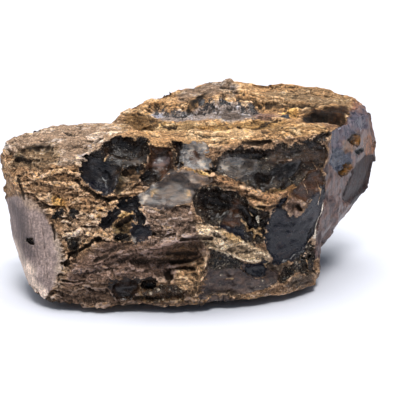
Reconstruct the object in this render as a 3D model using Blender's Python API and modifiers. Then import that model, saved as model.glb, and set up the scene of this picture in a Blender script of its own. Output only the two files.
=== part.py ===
"""Raw copal: one broken lump of dark fossil tree resin that still wears a brown, bark-like crust.

Metres, +Z up. The lump lies on its base with its broad broken front towards -Y, and the origin is
under the middle of its bounding box. Shapes are laid out in millimetres and scaled by MM.

A plain block of two convex pieces gives the outline. Crust relief, broken panes, ledges and cracks
are then worked into its skin, the faces are thinned out, and the underside is cut flat.
"""

import math

import bmesh
import bpy
import numpy as np
from mathutils import Vector, noise

MM = 0.001
SKIN_STEP = 0.8
CLOSING_STEP = 0.7
FACE_COUNT = 9000
GROUND_REACH = 80.0

# Corners of the two blocks that the lump breaks down to, in millimetres.
FRONT_BLOCK = {
    "base": [
        (-39, -20, -1), (-42, -12, -1), (-26, -21, -1), (-6, -21, -1), (4, -20, -1), (13, -17, -1),
        (23, -12, -1), (30, -7, -1), (34, -2, -1), (33, 22, -1), (8, 27, -1), (-24, 17, -1), (-42, 2, -1),
    ],
    "foot": [
        (-47.3, -17, 2.6), (-45, -25.5, 2.3), (-40, -30.3, 1.9), (-28, -31.6, 2.2), (-8, -32.2, 1.9),
        (3, -31.2, 1.9), (13, -29.2, 2.2), (21, -25.6, 2), (31, -20.5, 1.6), (37, -14.5, 2),
        (39.8, -10.8, 3.4), (39, 2, 1.4),
    ],
    "waist": [
        (-38, -28, 14.4), (-48, -21, 30.4), (-51, -9, 5.4), (-53.5, -6, 14.4), (-56, -5, 30.4), (-8, -32, 21.4),
        (8, -30, 23.4), (40.3, -10.5, 7.4), (40, -12, 15.4), (40, -12, 35.4), (-54, 2, 25.4),
    ],
    "top": [
        (-56, -9.5, 43), (-53, -7, 45.4), (-50, -3, 46.4), (-46, 1, 47), (-36, -22, 41.4), (-23, -16, 47.4),
        (-12, -17, 48.4), (7, -19, 47.4), (22, -17, 47.4), (40, -13, 49.4), (-34, 4, 46.8), (-25, 6, 46.4),
    ],
}
BACK_BLOCK = {
    "foot": [(38, 10, 3), (34, 26, 0), (6, 30, 1), (-22, 18, 4)],
    "waist": [
        (40, -11, 17.4), (44, 14, 10.4), (50.2, 16, 17.4), (54.2, 18, 23.4), (56.0, 17, 31.4), (56.7, 17, 36.4),
        (46, 31, 25.4), (12, 32, 29.4), (-18, 22, 31.4),
    ],
    "top": [
        (-24, 6, 46.4), (-21, 10, 49.4), (-16, 14, 51.7), (-8, 18, 52.4), (0, 24, 53.8), (5, 28, 54.4),
        (12, 29, 53.6), (19, 30, 51), (34, 31, 50.6), (41, 30, 51.4), (49.4, 27, 49.6), (53.4, 22, 47.6),
        (55.6, 19, 46), (40, -12, 49.4),
    ],
}

# The front is laid out on a sheet, as it looks from SIGHT_DISTANCE mm away and SIGHT_TILT degrees
# above level. A step on the sheet is SIGHT_STEP mm at SIGHT_AIM, and the sheet's steps count right
# and down, with SHEET_MIDDLE at the aim.
SIGHT_AIM = np.array([2.4, 0.0, 24.3])
SIGHT_DISTANCE = 500.0
SIGHT_TILT = math.radians(18)
SIGHT_STEP = 0.3
SHEET_MIDDLE = 200
AHEAD = np.array([0.0, math.cos(SIGHT_TILT), -math.sin(SIGHT_TILT)])
UPWARD = np.array([0.0, math.sin(SIGHT_TILT), math.cos(SIGHT_TILT)])
SIGHT_POINT = SIGHT_AIM - AHEAD * SIGHT_DISTANCE

# Broken panes of the front: outline in sheet steps, depth in mm at the outline's middle, how much
# deeper it gets per mm to the right and down, and how steep its rim is.
FRONT_PANES = {
    "upper_left_hollow": (
        [(80, 160), (86, 154), (93, 151), (99, 148), (104, 143), (110, 139), (120, 138), (131, 141),
         (138, 138), (141, 133), (147, 134), (149, 142), (152, 150), (150, 160), (147, 167), (138, 171),
         (131, 167), (122, 171), (118, 180), (116, 190), (108, 195), (98, 192), (86, 185), (80, 175)],
        4.8, (-0.04, -0.16), 1.6),
    "upper_left_lobe": (
        [(82, 162), (93, 159), (104, 162), (112, 168), (117, 180), (115, 192), (106, 196), (93, 188),
         (84, 180)],
        6.0, (0.25, 0.08), 2.0),
    "upper_left_roof": (
        [(106, 145), (112, 141), (122, 139), (135, 140), (147, 141), (149, 154), (134, 157), (119, 158),
         (108, 154)],
        6.4, (0.0, -0.25), 1.8),
    "inner_crust": (
        [(112, 172), (122, 166), (133, 163), (148, 164), (146, 174), (138, 186), (130, 190), (116, 198),
         (110, 192)],
        2.6, (-0.1, -0.1), 1.0),
    "plum_pane": (
        [(149, 143), (158, 147), (172, 148), (174, 160), (172, 174), (165, 181), (158, 183), (150, 180),
         (146, 170), (148, 155)],
        3.6, (0.12, -0.16), 1.6),
    "small_black_pane": (
        [(137, 177), (143, 173), (150, 170), (158, 173), (160, 181), (152, 187), (143, 188), (138, 184)],
        4.6, (0.0, 0.0), 1.8),
    "upper_groove": (
        [(173, 138), (184, 139), (187, 150), (184, 163), (180, 172), (174, 168), (176, 152)],
        4.0, (0.2, 0.1), 1.6),
    "shiny_pane": (
        [(183, 143), (195, 141), (207, 141), (209, 148), (203, 154), (209, 160), (210, 169), (198, 172),
         (183, 169), (181, 158)],
        2.6, (0.0, -0.3), 1.2),
    "amber_hole": ([(202, 173), (206, 170), (211, 173), (210, 178), (204, 178)], 3.0, (0.0, 0.0), 2.0),
    "facet_band": (
        [(176, 171), (195, 174), (214, 178), (208, 184), (199, 188), (188, 186), (180, 179)],
        1.9, (0.02, -0.4), 1.2),
    "bright_facet": (
        [(138, 200), (143, 194), (150, 186), (158, 183), (163, 177), (170, 173), (180, 173), (187, 180),
         (190, 186), (200, 187), (199, 193), (191, 203), (178, 207), (160, 208), (146, 206)],
        2.7, (0.02, -0.55), 1.5),
    "upper_right_field": (
        [(211, 161), (222, 155), (226, 146), (232, 149), (238, 145), (243, 149), (270, 148), (277, 143),
         (287, 145), (293, 141), (302, 143), (312, 140), (324, 143), (328, 156), (322, 168), (313, 172),
         (307, 178), (301, 188), (292, 190), (270, 190), (250, 189), (240, 183), (231, 176), (218, 175),
         (210, 170)],
        2.6, (0.0, -0.06), 1.8),
    "streaked_facet": (
        [(215, 168), (222, 156), (230, 152), (244, 155), (256, 159), (256, 172), (251, 182), (240, 181),
         (228, 175)],
        4.2, (0.1, -0.34), 1.8),
    "roof_shadow": (
        [(227, 151), (232, 149), (243, 150), (270, 149), (277, 148), (277, 154), (250, 156), (230, 157)],
        4.4, (0.0, 0.0), 2.0),
    "far_hollow": (
        [(253, 172), (260, 166), (270, 168), (273, 178), (272, 187), (262, 190), (254, 186)],
        5.6, (0.0, 0.0), 1.8),
    "lens_pane": (
        [(268, 174), (273, 167), (284, 162), (297, 159), (305, 160), (301, 168), (292, 176), (281, 180),
         (271, 179)],
        3.8, (0.0, 0.12), 1.6),
    "upper_right_bay": (
        [(268, 152), (278, 149), (292, 150), (303, 151), (303, 159), (288, 162), (270, 164)],
        3.0, (0.0, -0.2), 1.4),
    "upper_right_pocket": (
        [(278, 182), (286, 179), (293, 182), (293, 189), (282, 191)],
        4.0, (0.0, 0.0), 1.6),
    "corner_pane": (
        [(302, 149), (312, 142), (325, 143), (328, 157), (318, 170), (308, 173), (302, 163)],
        2.0, (0.0, -0.1), 1.2),
    "corner_slope": (
        [(294, 192), (306, 178), (313, 170), (322, 168), (326, 182), (316, 198), (307, 206), (296, 202)],
        1.7, (0.0, -0.1), 1.2),
    "edge_wedge": (
        [(293, 135), (302, 140), (312, 139), (320, 133), (330, 130), (334, 133), (325, 141), (312, 146),
         (300, 143)],
        3.0, (0.0, 0.0), 1.8),
    "middle_field": (
        [(194, 194), (202, 188), (212, 185), (222, 189), (231, 193), (240, 197), (250, 200), (253, 207),
         (264, 211), (272, 213), (273, 222), (268, 229), (265, 238), (263, 247), (250, 246), (243, 243),
         (236, 236), (228, 231), (219, 229), (211, 224), (204, 219), (197, 214), (192, 204)],
        3.4, (0.0, -0.1), 1.6),
    "middle_hollow": (
        [(198, 196), (206, 190), (218, 191), (236, 197), (236, 208), (232, 216), (222, 220), (206, 217),
         (197, 208)],
        5.6, (0.04, -0.22), 1.8),
    "hollow_facet": (
        [(235, 204), (241, 201), (242, 226), (232, 229), (223, 227), (226, 220), (232, 215)],
        4.2, (-0.4, 0.1), 1.8),
    "middle_right_hollow": (
        [(241, 201), (248, 203), (256, 211), (262, 222), (258, 236), (250, 243), (243, 237), (242, 222)],
        5.6, (-0.08, -0.1), 1.8),
    "hollow_floor": (
        [(220, 226), (236, 227), (245, 231), (242, 241), (234, 235), (226, 231)],
        4.4, (0.0, -0.3), 1.8),
    "slate_face": (
        [(282, 195), (289, 195), (288, 207), (292, 215), (298, 217), (304, 213), (309, 205), (313, 197),
         (320, 189), (322, 200), (321, 216), (319, 228), (317, 240), (313, 247), (308, 256), (298, 259),
         (293, 264), (283, 266), (272, 267), (270, 258), (266, 252), (264, 244), (266, 236), (267, 226),
         (273, 216), (279, 208), (281, 202)],
        1.8, (0.03, 0.02), 1.2),
    "lower_face": (
        [(209, 250), (222, 250), (234, 257), (244, 262), (262, 260), (276, 268), (280, 278), (276, 285),
         (262, 292), (246, 299), (232, 305), (215, 308), (201, 307), (199, 298), (203, 282), (206, 268)],
        1.9, (0.02, -0.05), 1.2),
    "lower_black": (
        [(209, 250), (222, 251), (233, 257), (242, 263), (240, 270), (224, 269), (208, 271)],
        2.4, (0.0, -0.2), 1.4),
    "lower_blue_pane": (
        [(242, 264), (252, 261), (262, 258), (271, 261), (266, 274), (254, 279), (246, 273)],
        2.6, (0.0, 0.1), 1.5),
    "crackled_corner": (
        [(283, 270), (292, 263), (300, 258), (309, 254), (313, 246), (319, 243), (322, 251), (323, 262),
         (323, 274), (309, 277), (299, 273), (292, 278), (283, 286), (278, 281)],
        2.2, (0.0, 0.0), 1.4),
    "undercut": (
        [(120, 262), (142, 256), (165, 247), (185, 241), (202, 240), (207, 249), (203, 264), (196, 279),
         (180, 277), (165, 279), (150, 273), (132, 270)],
        5.4, (0.16, 0.14), 1.1),
    "lower_dark_pane": (
        [(111, 281), (125, 279), (139, 280), (142, 288), (136, 296), (128, 301), (114, 299), (110, 290)],
        3.0, (0.0, -0.3), 1.6),
    "lower_dark_notch": (
        [(141, 281), (149, 278), (158, 279), (157, 288), (148, 292), (142, 288)],
        3.6, (0.0, 0.0), 1.8),
    "low_blue_pane": (
        [(130, 227), (138, 225), (147, 227), (150, 234), (146, 241), (140, 244), (134, 248), (129, 243),
         (127, 236)],
        3.0, (-0.1, 0.0), 1.8),
    "high_blue_pane": (
        [(117, 206), (124, 202), (135, 200), (139, 205), (139, 210), (144, 217), (144, 226), (136, 226),
         (131, 221), (134, 215), (130, 211), (118, 211)],
        3.0, (0.0, -0.1), 1.8),
    "slanted_pane": (
        [(96, 227), (98, 220), (105, 214), (115, 208), (122, 208), (121, 214), (114, 222), (107, 229),
         (100, 232)],
        3.4, (0.0, 0.0), 1.8),
    "left_pit": (
        [(66, 241), (71, 238), (77, 241), (79, 247), (74, 253), (68, 250)],
        2.6, (0.0, 0.0), 2.0),
    "left_upper_pit": (
        [(51, 220), (54, 213), (62, 208), (65, 212), (59, 219), (54, 223)],
        2.2, (0.0, 0.0), 1.8),
    "left_small_pit": ([(68, 210), (74, 208), (78, 213), (73, 218), (69, 216)], 1.8, (0.0, 0.0), 1.8),
    "left_face_pit": ([(25, 241), (33, 239), (33, 247), (29, 247)], 1.8, (0.0, 0.0), 2.0),
    "left_brow": (
        [(21, 150), (40, 146), (60, 146), (57, 158), (48, 167), (30, 168), (12, 166)],
        1.1, (0.0, 0.0), 0.8),
}

# Ridges (above 0) and cracks (below 0) of the front: a line on the sheet, half width and height, mm.
FRONT_LINES = {
    "long_ledge": (
        [(198, 173), (212, 178), (226, 185), (240, 190), (258, 195), (275, 198), (288, 193), (294, 186)],
        1.9, 1.7),
    "ledge_underside": ([(250, 200), (262, 207), (276, 204)], 1.5, 1.2),
    "low_ledge": (
        [(193, 227), (210, 229), (225, 235), (238, 242), (250, 248), (262, 251), (269, 259)],
        1.7, 1.6),
    "lower_ledge": ([(210, 247), (224, 251), (238, 260), (250, 262), (258, 259)], 1.0, 1.0),
    "corner_lump": ([(289, 207), (296, 201), (303, 206), (299, 214)], 1.7, 1.2),
    "tan_patch": ([(264, 264), (272, 270), (280, 268), (290, 263)], 1.4, 0.8),
    "foot_lump": ([(285, 287), (296, 280), (308, 281), (318, 277)], 1.5, 0.9),
    "foot_rim": ([(240, 299), (255, 294), (268, 290), (278, 286)], 1.0, 0.7),
    "chip_on_lower_face": ([(226, 280), (232, 280)], 1.1, 1.2),
    "hanging_fold": ([(120, 258), (150, 250), (180, 240), (205, 235), (220, 240)], 2.2, 1.4),
    "cavity_ridge": ([(209, 247), (206, 260), (202, 275), (198, 290), (194, 302)], 1.3, 1.8),
    "hollow_rib": ([(172, 141), (174, 155), (172, 168)], 1.0, 1.3),
    "hollow_lip": ([(108, 196), (118, 194), (127, 188), (137, 184)], 1.0, 1.3),
    "slanted_tongue": ([(113, 226), (124, 218), (132, 215)], 1.2, 1.3),
    "foot_crack": ([(65, 264), (67, 257), (78, 252), (90, 244), (102, 238)], 0.8, -1.8),
    "under_hollow_crack": ([(76, 180), (84, 188), (95, 195), (106, 199), (128, 199)], 0.6, -1.4),
    "low_crack": ([(64, 280), (73, 282), (85, 281)], 0.6, -1.2),
    "left_edge_crack": ([(19, 178), (20, 190), (22, 202)], 0.6, -1.0),
    "face_edge_crack": ([(51, 229), (54, 236), (54, 241)], 0.6, -1.2),
    "fold_crack": ([(152, 236), (163, 237), (175, 233)], 0.8, -1.2),
    "fold_shadow": ([(180, 240), (195, 238), (212, 238)], 0.9, -1.4),
    "undercut_seam": ([(170, 269), (183, 268), (194, 270)], 0.8, -1.6),
    "top_edge_crack": ([(242, 142), (256, 143), (268, 141)], 0.7, -1.6),
    "ledge_eye": ([(260, 206), (267, 207)], 0.8, -1.8),
    "lump_eye": ([(299, 207), (301, 211)], 0.9, -1.8),
    "cavity_eye": ([(168, 271), (168, 279)], 1.4, -3.0),
}

# Panes of the right end, outlined as the front's are but cut square to that end.
END_PANES = {
    "end_face": (
        [(334, 130), (330, 150), (327, 165), (325, 180), (321, 200), (319, 218), (319, 243), (327, 262),
         (350, 262), (410, 180), (400, 112), (364, 106), (350, 113), (342, 122)],
        0.3, (0.0, 0.0), 0.8),
    "end_blue_facet": (
        [(330, 163), (334, 149), (345, 146), (352, 152), (353, 164), (342, 171), (338, 174), (333, 168)],
        1.2, (0.1, 0.0), 1.2),
    "end_dark_facet": (
        [(347, 197), (350, 180), (357, 166), (372, 160), (371, 178), (362, 194), (350, 208)],
        1.0, (0.1, 0.0), 1.4),
    "end_slot": ([(355, 151), (366, 149), (367, 153), (357, 155)], 1.4, (0.0, 0.0), 1.6),
    "end_upper_hole": (
        [(352, 140), (354, 136), (358, 134), (362, 137), (361, 144), (357, 147), (353, 144)],
        2.6, (0.0, 0.0), 2.2),
    "end_lower_hole": (
        [(337, 172), (343, 168), (352, 164), (354, 168), (348, 175), (341, 178)],
        2.6, (0.0, 0.0), 2.2),
}

# Ridges and cracks of the top, on the same sheet, but raised and cut straight up and down.
TOP_LINES = {
    "back_edge_dip": ([(258, 84), (275, 82), (292, 84)], 4.0, -1.1),
    "back_chip": ([(223, 84), (231, 82)], 1.3, 1.0),
    "riser_wedge": ([(191, 105), (197, 103), (203, 97)], 1.5, -1.8),
    "back_plate": ([(240, 93), (258, 95)], 2.2, 0.5),
    "shelf_plate": ([(160, 116), (176, 117), (190, 118)], 2.0, 0.5),
    "shelf_slot": ([(168, 119), (176, 120)], 1.0, -1.2),
    "shelf_ridge": ([(196, 133), (222, 130), (243, 130)], 2.4, 0.5),
    "left_plate": ([(86, 132), (99, 132)], 2.0, 0.5),
}

# Panes away from the front: which way the sheet faces (degrees round from the front, and above
# level), outline in mm right and up on it, then depth, growth and rim steepness as above.
SIDE_PANES = {
    "top_shelf": (
        (0, 90),
        [(-12, 14.5), (-2, 13.5), (7, 11), (15, 12.5), (22, 14), (30, 10.5), (38, 7.5), (47, 5.5), (51, 2),
         (46, -6), (36, -16), (18, -20), (0, -22), (-12, -18), (-18, -6), (-19, 5)],
        1.9, (0.0, -0.135), 1.1),
    "back_plate_step": (
        (0, 90),
        [(10, 18), (20, 16.5), (32, 14.5), (44, 12.5), (49, 9), (38, 8), (28, 9), (18, 12), (8, 12)],
        0.9, (0.0, 0.0), 1.6),
    "right_hollow": (
        (0, 90), [(31, 6), (38, 9), (47, 6), (49, 1), (42, -1), (34, 1)], 4.2, (0.0, -0.1), 1.1),
}

# Shell-shaped scars of the sides that the front hides: facing, middle (mm right and up on that
# sheet), half width and half height, turn in degrees, depth, growth and rim steepness.
SHELLS = {
    "back_great_shell": ((172, 8), (-14, 25), (19, 15), 12, 5.2, (0.05, 0.10), 0.9),
    "back_lower_shell": ((165, -8), (14, 12), (15, 9), -8, 3.6, (-0.06, 0.0), 1.0),
    "back_upper_shell": ((178, 12), (22, 38), (12, 6), 4, 2.8, (0.0, -0.1), 1.2),
    "back_left_shell": ((-132, 0), (6, 24), (12, 13), -15, 4.0, (0.08, 0.0), 1.0),
    "back_left_notch": ((-125, 10), (-10, 34), (6, 5), 20, 2.6, (0.0, 0.0), 1.4),
    "right_back_shell": ((118, -10), (2, 22), (10, 12), 0, 3.4, (0.0, 0.08), 1.0),
    "right_end_dish": ((66, -14), (8, 22), (10, 15), 8, 1.6, (0.0, 0.0), 0.6),
    "under_front_hollow": ((0, -90), (-8, 8), (17, 10), 10, 2.4, (0.0, 0.0), 0.7),
    "under_back_hollow": ((0, -90), (10, -13), (14, 8), -12, 2.2, (0.0, 0.0), 0.7),
}

# Broken faces that came out smooth, with how much of the crust's relief is left on them. The front
# ones are outlined on the sheet, and the right end is told by the way it faces.
SMOOTH_LEFT_FACE = [
    (4, 199), (22, 199), (42, 214), (53, 232), (60, 250), (61, 269), (54, 291), (44, 300), (20, 276),
]
SMOOTH_SLATE_FACE = [(265, 212), (282, 206), (305, 214), (312, 200), (330, 198), (326, 262), (268, 262)]
RIGHT_END_FACING = 62
SMOOTH_SHARE = 0.2

# The crust: layers of bark-like plates, rough lumps, and streaks along the draped lower front. Lengths
# are in mm. PLATE_RISE is the share of a layer's thickness at which the step to the next one starts.
BEDDING = np.array([0.06, -0.10, 1.0])
BEDDING_BEND = 1.3
BEDDING_BEND_SIZE = 12.0
PLATE_THICKNESS = 2.3
PLATE_HEIGHT = 1.2
PLATE_LENGTH = 16.0
PLATE_DEPTH = 12.0
PLATE_RISE = 0.72
LAYER_GAP = 7.3
LUMP_SIZE = 9.0
LUMP_HEIGHT = 0.8
STREAK_WIDTH = 2.4
STREAK_LENGTH = 14.4
STREAK_HEIGHT = 0.8
STREAK_RISE = math.radians(20)
DRAPED_FRONT = [
    (64, 276), (72, 262), (100, 243), (130, 247), (150, 240), (175, 226), (205, 226), (222, 240),
    (207, 250), (196, 276), (110, 282), (62, 290),
]
RIM_RAGGED = 0.8
RIM_RAGGED_SIZE = 4.0

# Slow waves that keep edges and faces from running straight, and the swells of the underside, which
# the flat cut then trims to the patches that the lump rests on.
WAVE_SIZE = 17.0
WAVE_HEIGHT = 0.9
SWELL_SIZE = 22.0
SWELL_HEIGHT = 2.4
SWELL_LIFT = 1.1
CRUST_COLOUR = (0.205, 0.118, 0.062, 1.0)
CRUST_ROUGHNESS = 0.75


def clear_scene():
    for old in list(bpy.data.objects):
        bpy.data.objects.remove(old, do_unlink=True)


def shelf(name, hidden):
    """A collection for the lump, or a hidden one for what cuts it."""
    made = bpy.data.collections.new(name)
    made.hide_render = hidden
    bpy.context.scene.collection.children.link(made)
    return made


def keep(name, shape, place):
    """A new object from a bmesh, in a collection."""
    mesh = bpy.data.meshes.new(name)
    shape.to_mesh(mesh)
    shape.free()
    made = bpy.data.objects.new(name, mesh)
    place.objects.link(made)
    if place.hide_render:
        made.hide_render = True
        made.display_type = "WIRE"
    return made


def hull(name, corner_groups, place):
    """The convex block that has these corners."""
    shape = bmesh.new()
    for corners in corner_groups.values():
        for corner in corners:
            shape.verts.new(Vector(corner) * MM)
    made = bmesh.ops.convex_hull(shape, input=shape.verts)
    inside = [v for v in made["geom_interior"] if isinstance(v, bmesh.types.BMVert)]
    bmesh.ops.delete(shape, geom=inside, context="VERTS")
    bmesh.ops.recalc_face_normals(shape, faces=shape.faces)
    return keep(name, shape, place)


def ground_box(place):
    """All that would lie below the surface the lump rests on."""
    shape = bmesh.new()
    bmesh.ops.create_cube(shape, size=2 * GROUND_REACH * MM)
    bmesh.ops.translate(shape, vec=(0, 0, -GROUND_REACH * MM), verts=shape.verts)
    return keep("ground", shape, place)


def cut(lump, cutter, operation="DIFFERENCE"):
    boolean = lump.modifiers.new(cutter.name, "BOOLEAN")
    boolean.operation = operation
    boolean.object = cutter


def settle(lump):
    """Makes what the modifiers give the object's own mesh."""
    graph = bpy.context.evaluated_depsgraph_get()
    mesh = bpy.data.meshes.new_from_object(lump.evaluated_get(graph))
    lump.modifiers.clear()
    lump.data = mesh


def remesh(lump, voxel):
    even = lump.modifiers.new("even_skin", "REMESH")
    even.mode = "VOXEL"
    even.voxel_size = voxel * MM


def ease(low, high, value):
    """0 below low, 1 above high, and smooth between."""
    t = np.clip((value - low) / (high - low), 0.0, 1.0)
    return t * t * (3 - 2 * t)


def rough(points, size, seed=0, octaves=4):
    """Fractal noise of about -1 to 1, whose largest lumps are this size in mm."""
    return np.array([noise.fractal(p, 1.0, 2.0, octaves) for p in (points / size + 31.7 * seed).tolist()])


def on_front_sheet(points):
    """Where points are seen on the front's sheet, in mm right and down of its middle."""
    offset = points - SIGHT_POINT
    scale = SIGHT_DISTANCE / (offset @ AHEAD)
    return np.stack([offset[:, 0] * scale, -(offset @ UPWARD) * scale], axis=1)


def from_steps(line):
    return (np.array(line, float) - SHEET_MIDDLE) * SIGHT_STEP


def sheet_axes(facing):
    """The right, up and outward directions of a flat sheet that faces this way."""
    around, above = (math.radians(a) for a in facing)
    right = np.array([math.cos(around), math.sin(around), 0.0])
    out = np.array([math.sin(around) * math.cos(above), -math.cos(around) * math.cos(above), math.sin(above)])
    return right, np.cross(out, right), out


def line_distance(spots, line):
    """How far each spot is from a line of points, in mm."""
    nearest = np.full(len(spots), 1e9)
    for start, end in zip(line[:-1], line[1:]):
        along = end - start
        share = np.clip((spots - start) @ along / (along @ along), 0.0, 1.0)
        nearest = np.minimum(nearest, np.linalg.norm(spots - start - share[:, None] * along, axis=1))
    return nearest


def depth_inside(spots, outline):
    """How far each spot lies inside an outline, in mm, and below 0 outside it."""
    closed = np.vstack([outline, outline[:1]])
    within = np.zeros(len(spots), bool)
    for (x0, y0), (x1, y1) in zip(closed[:-1], closed[1:]):
        crosses = (y0 > spots[:, 1]) != (y1 > spots[:, 1])
        if y0 != y1:
            within ^= crosses & (spots[:, 0] < x0 + (spots[:, 1] - y0) * (x1 - x0) / (y1 - y0))
    return np.where(within, 1.0, -1.0) * line_distance(spots, closed)


def shell_outline(middle, half_size, turn):
    """A shell scar's outline: an oval with one blunter end, turned on its sheet."""
    round_about = np.linspace(0, 2 * math.pi, 16, endpoint=False)
    width = half_size[0] * (1 + 0.14 * np.sin(2 * round_about + middle[0]))
    height = half_size[1] * (1 + 0.12 * np.cos(3 * round_about + middle[1]))
    oval = np.stack([width * np.cos(round_about), height * np.sin(round_about)], axis=1)
    cos, sin = math.cos(math.radians(turn)), math.sin(math.radians(turn))
    return oval @ np.array([[cos, sin], [-sin, cos]]) + middle


def pane_depth(spots, outline, depth, growth, rim, ragged):
    """How deep a pane is cut at each spot: a leaning floor that rounds up to a steep ragged rim."""
    floor = depth + (spots - outline.mean(axis=0)) @ np.array(growth, float)
    floor = np.maximum(floor, 0.05)
    reach = np.clip(0.75 * rim * (depth_inside(spots, outline) + ragged) / floor, 0.0, 1.0)
    return floor * reach * (2 - reach)


def line_share(front, line, half_width, ragged):
    """How much of a line's height each point gets, from 0 away from it to 1 on it."""
    share = 1 - line_distance(front, from_steps(line)) / (half_width * (1 + 0.5 * ragged))
    return ease(0.0, 0.9, share)


def layered_plates(points):
    """Layers along the bedding that stand out and draw back by turns, as bark does."""
    bent = BEDDING_BEND * rough(points * [0.4, 0.6, 1.0], BEDDING_BEND_SIZE, seed=2)
    level = points @ BEDDING / PLATE_THICKNESS + bent
    layer = np.floor(level)
    step = ease(PLATE_RISE, 1.0, level - layer)
    heights = []
    for number in (layer, layer + 1):
        place = np.stack([points[:, 0] / PLATE_LENGTH, points[:, 1] / PLATE_DEPTH, number * LAYER_GAP], axis=1)
        heights.append(rough(place, 1.0, seed=3, octaves=2))
    return PLATE_HEIGHT * (heights[0] * (1 - step) + heights[1] * step)


def folds(front):
    """Streaks of the draped front, which rise to the right."""
    across = front @ np.array([math.sin(STREAK_RISE), math.cos(STREAK_RISE)])
    along = front @ np.array([math.cos(STREAK_RISE), -math.sin(STREAK_RISE)])
    spot = np.stack([across / STREAK_WIDTH, along / STREAK_LENGTH, 0 * across], axis=1)
    return STREAK_HEIGHT * rough(spot, 1.0, seed=4, octaves=2)


def crust(points, normals, front):
    """Height of the crust's own relief at each point, in mm."""
    draped = ease(-1.0, 2.0, depth_inside(front, from_steps(DRAPED_FRONT))) * ease(0.1, 0.4, -normals[:, 1])
    under = ease(0.5, 0.95, -normals[:, 2])
    swells = SWELL_HEIGHT * rough(points, SWELL_SIZE, seed=6, octaves=2) - SWELL_LIFT
    lumps = LUMP_HEIGHT * rough(points, LUMP_SIZE, seed=1)
    return lumps + layered_plates(points) * (1 - draped) + folds(front) * draped + swells * under


def crust_share(normals, front):
    """How much of the crust is left at each point: all of it, or little on the smooth breaks."""
    facing_front = ease(0.05, 0.3, -normals[:, 1])
    left = ease(-0.5, 1.5, depth_inside(front, from_steps(SMOOTH_LEFT_FACE))) * facing_front
    slate = ease(-0.5, 1.5, depth_inside(front, from_steps(SMOOTH_SLATE_FACE))) * facing_front
    right_out = sheet_axes((RIGHT_END_FACING, 0))[2]
    right = ease(0.72, 0.9, normals @ right_out)
    return 1 - (1 - SMOOTH_SHARE) * np.maximum(np.maximum(left, slate), right)


def carve(points, normals):
    """The points of the block's skin, moved to give the lump its broken surface."""
    front = on_front_sheet(points)
    toward_eye = SIGHT_POINT - points
    toward_eye /= np.linalg.norm(toward_eye, axis=1)[:, None]
    seen = ease(0.02, 0.2, np.einsum("ij,ij->i", normals, toward_eye))
    ragged = RIM_RAGGED * rough(points, RIM_RAGGED_SIZE, seed=5)
    waves = [rough(points, WAVE_SIZE, seed=number, octaves=2) for number in (7, 8, 9)]
    moved = points + WAVE_HEIGHT * np.stack(waves, axis=1)
    moved += normals * (crust(points, normals, front) * crust_share(normals, front))[:, None]

    depth = np.zeros(len(points))
    for outline, deep, growth, rim in FRONT_PANES.values():
        depth = np.maximum(depth, pane_depth(front, from_steps(outline), deep, growth, rim, ragged))
    for line, half_width, height in FRONT_LINES.values():
        depth -= height * line_share(front, line, half_width, ragged)
    moved -= toward_eye * (depth * seen)[:, None]

    upward = seen * ease(0.3, 0.7, normals[:, 2])
    for line, half_width, height in TOP_LINES.values():
        moved[:, 2] += height * upward * line_share(front, line, half_width, ragged)

    end_out = sheet_axes((RIGHT_END_FACING, 0))[2]
    for outline, deep, growth, rim in END_PANES.values():
        bite = pane_depth(front, from_steps(outline), deep, growth, rim, ragged)
        moved -= end_out * (bite * seen)[:, None]

    sheets = [(facing, np.array(outline, float), *rest) for facing, outline, *rest in SIDE_PANES.values()]
    for facing, middle, half_size, turn, *rest in SHELLS.values():
        sheets.append((facing, shell_outline(middle, half_size, turn), *rest))
    for facing, outline, deep, growth, rim in sheets:
        right, up, out = sheet_axes(facing)
        spots = np.stack([points @ right, points @ up], axis=1)
        bite = pane_depth(spots, outline, deep, (growth[0], -growth[1]), rim, ragged)
        moved -= out * (bite * ease(0.15, 0.5, normals @ out))[:, None]
    return moved


def work_skin(lump):
    """Moves the even skin's points from the plain block to the broken surface."""
    mesh = lump.data
    points = np.empty(3 * len(mesh.vertices))
    normals = np.empty(3 * len(mesh.vertices))
    mesh.vertices.foreach_get("co", points)
    mesh.vertices.foreach_get("normal", normals)
    moved = carve(points.reshape(-1, 3) / MM, normals.reshape(-1, 3))
    mesh.vertices.foreach_set("co", (moved * MM).ravel())
    mesh.update()


def soften(lump, rounds):
    even = lump.modifiers.new("soft_edges", "SMOOTH")
    even.factor = 0.5
    even.iterations = rounds


def thin_out(lump):
    """Fewer, larger faces, kept where the surface turns."""
    fewer = lump.modifiers.new("fewer_faces", "DECIMATE")
    fewer.ratio = FACE_COUNT / (2.0 * len(lump.data.polygons))
    fewer.use_collapse_triangulate = True


def crust_material():
    made = bpy.data.materials.new("copal_crust")
    made.use_nodes = True
    shader = made.node_tree.nodes["Principled BSDF"]
    shader.inputs["Base Color"].default_value = CRUST_COLOUR
    shader.inputs["Roughness"].default_value = CRUST_ROUGHNESS
    shader.inputs["Metallic"].default_value = 0.0
    return made


def main():
    clear_scene()
    shown, hidden = shelf("raw_copal", False), shelf("cutters", True)
    lump = hull("copal", FRONT_BLOCK, shown)
    cut(lump, hull("back_block", BACK_BLOCK, hidden), "UNION")
    remesh(lump, SKIN_STEP)
    soften(lump, 4)
    settle(lump)
    work_skin(lump)
    remesh(lump, CLOSING_STEP)
    settle(lump)
    thin_out(lump)
    settle(lump)
    cut(lump, ground_box(hidden))
    lump.data.materials.append(crust_material())


main()
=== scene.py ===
"""Looks of the raw copal: a broken lump of dark fossil resin under a brown, bark-like crust.

The lump's skin is built finely over the same block and broken panes as the solid that it replaces.
Named places on it carry colours and distances that the materials turn into crust, glassy resin,
dust, cracks and amber glints. Shapes are in millimetres, and MM brings them to metres.
"""

import math

import bmesh
import bpy
import numpy as np
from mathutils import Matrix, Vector, noise

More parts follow.
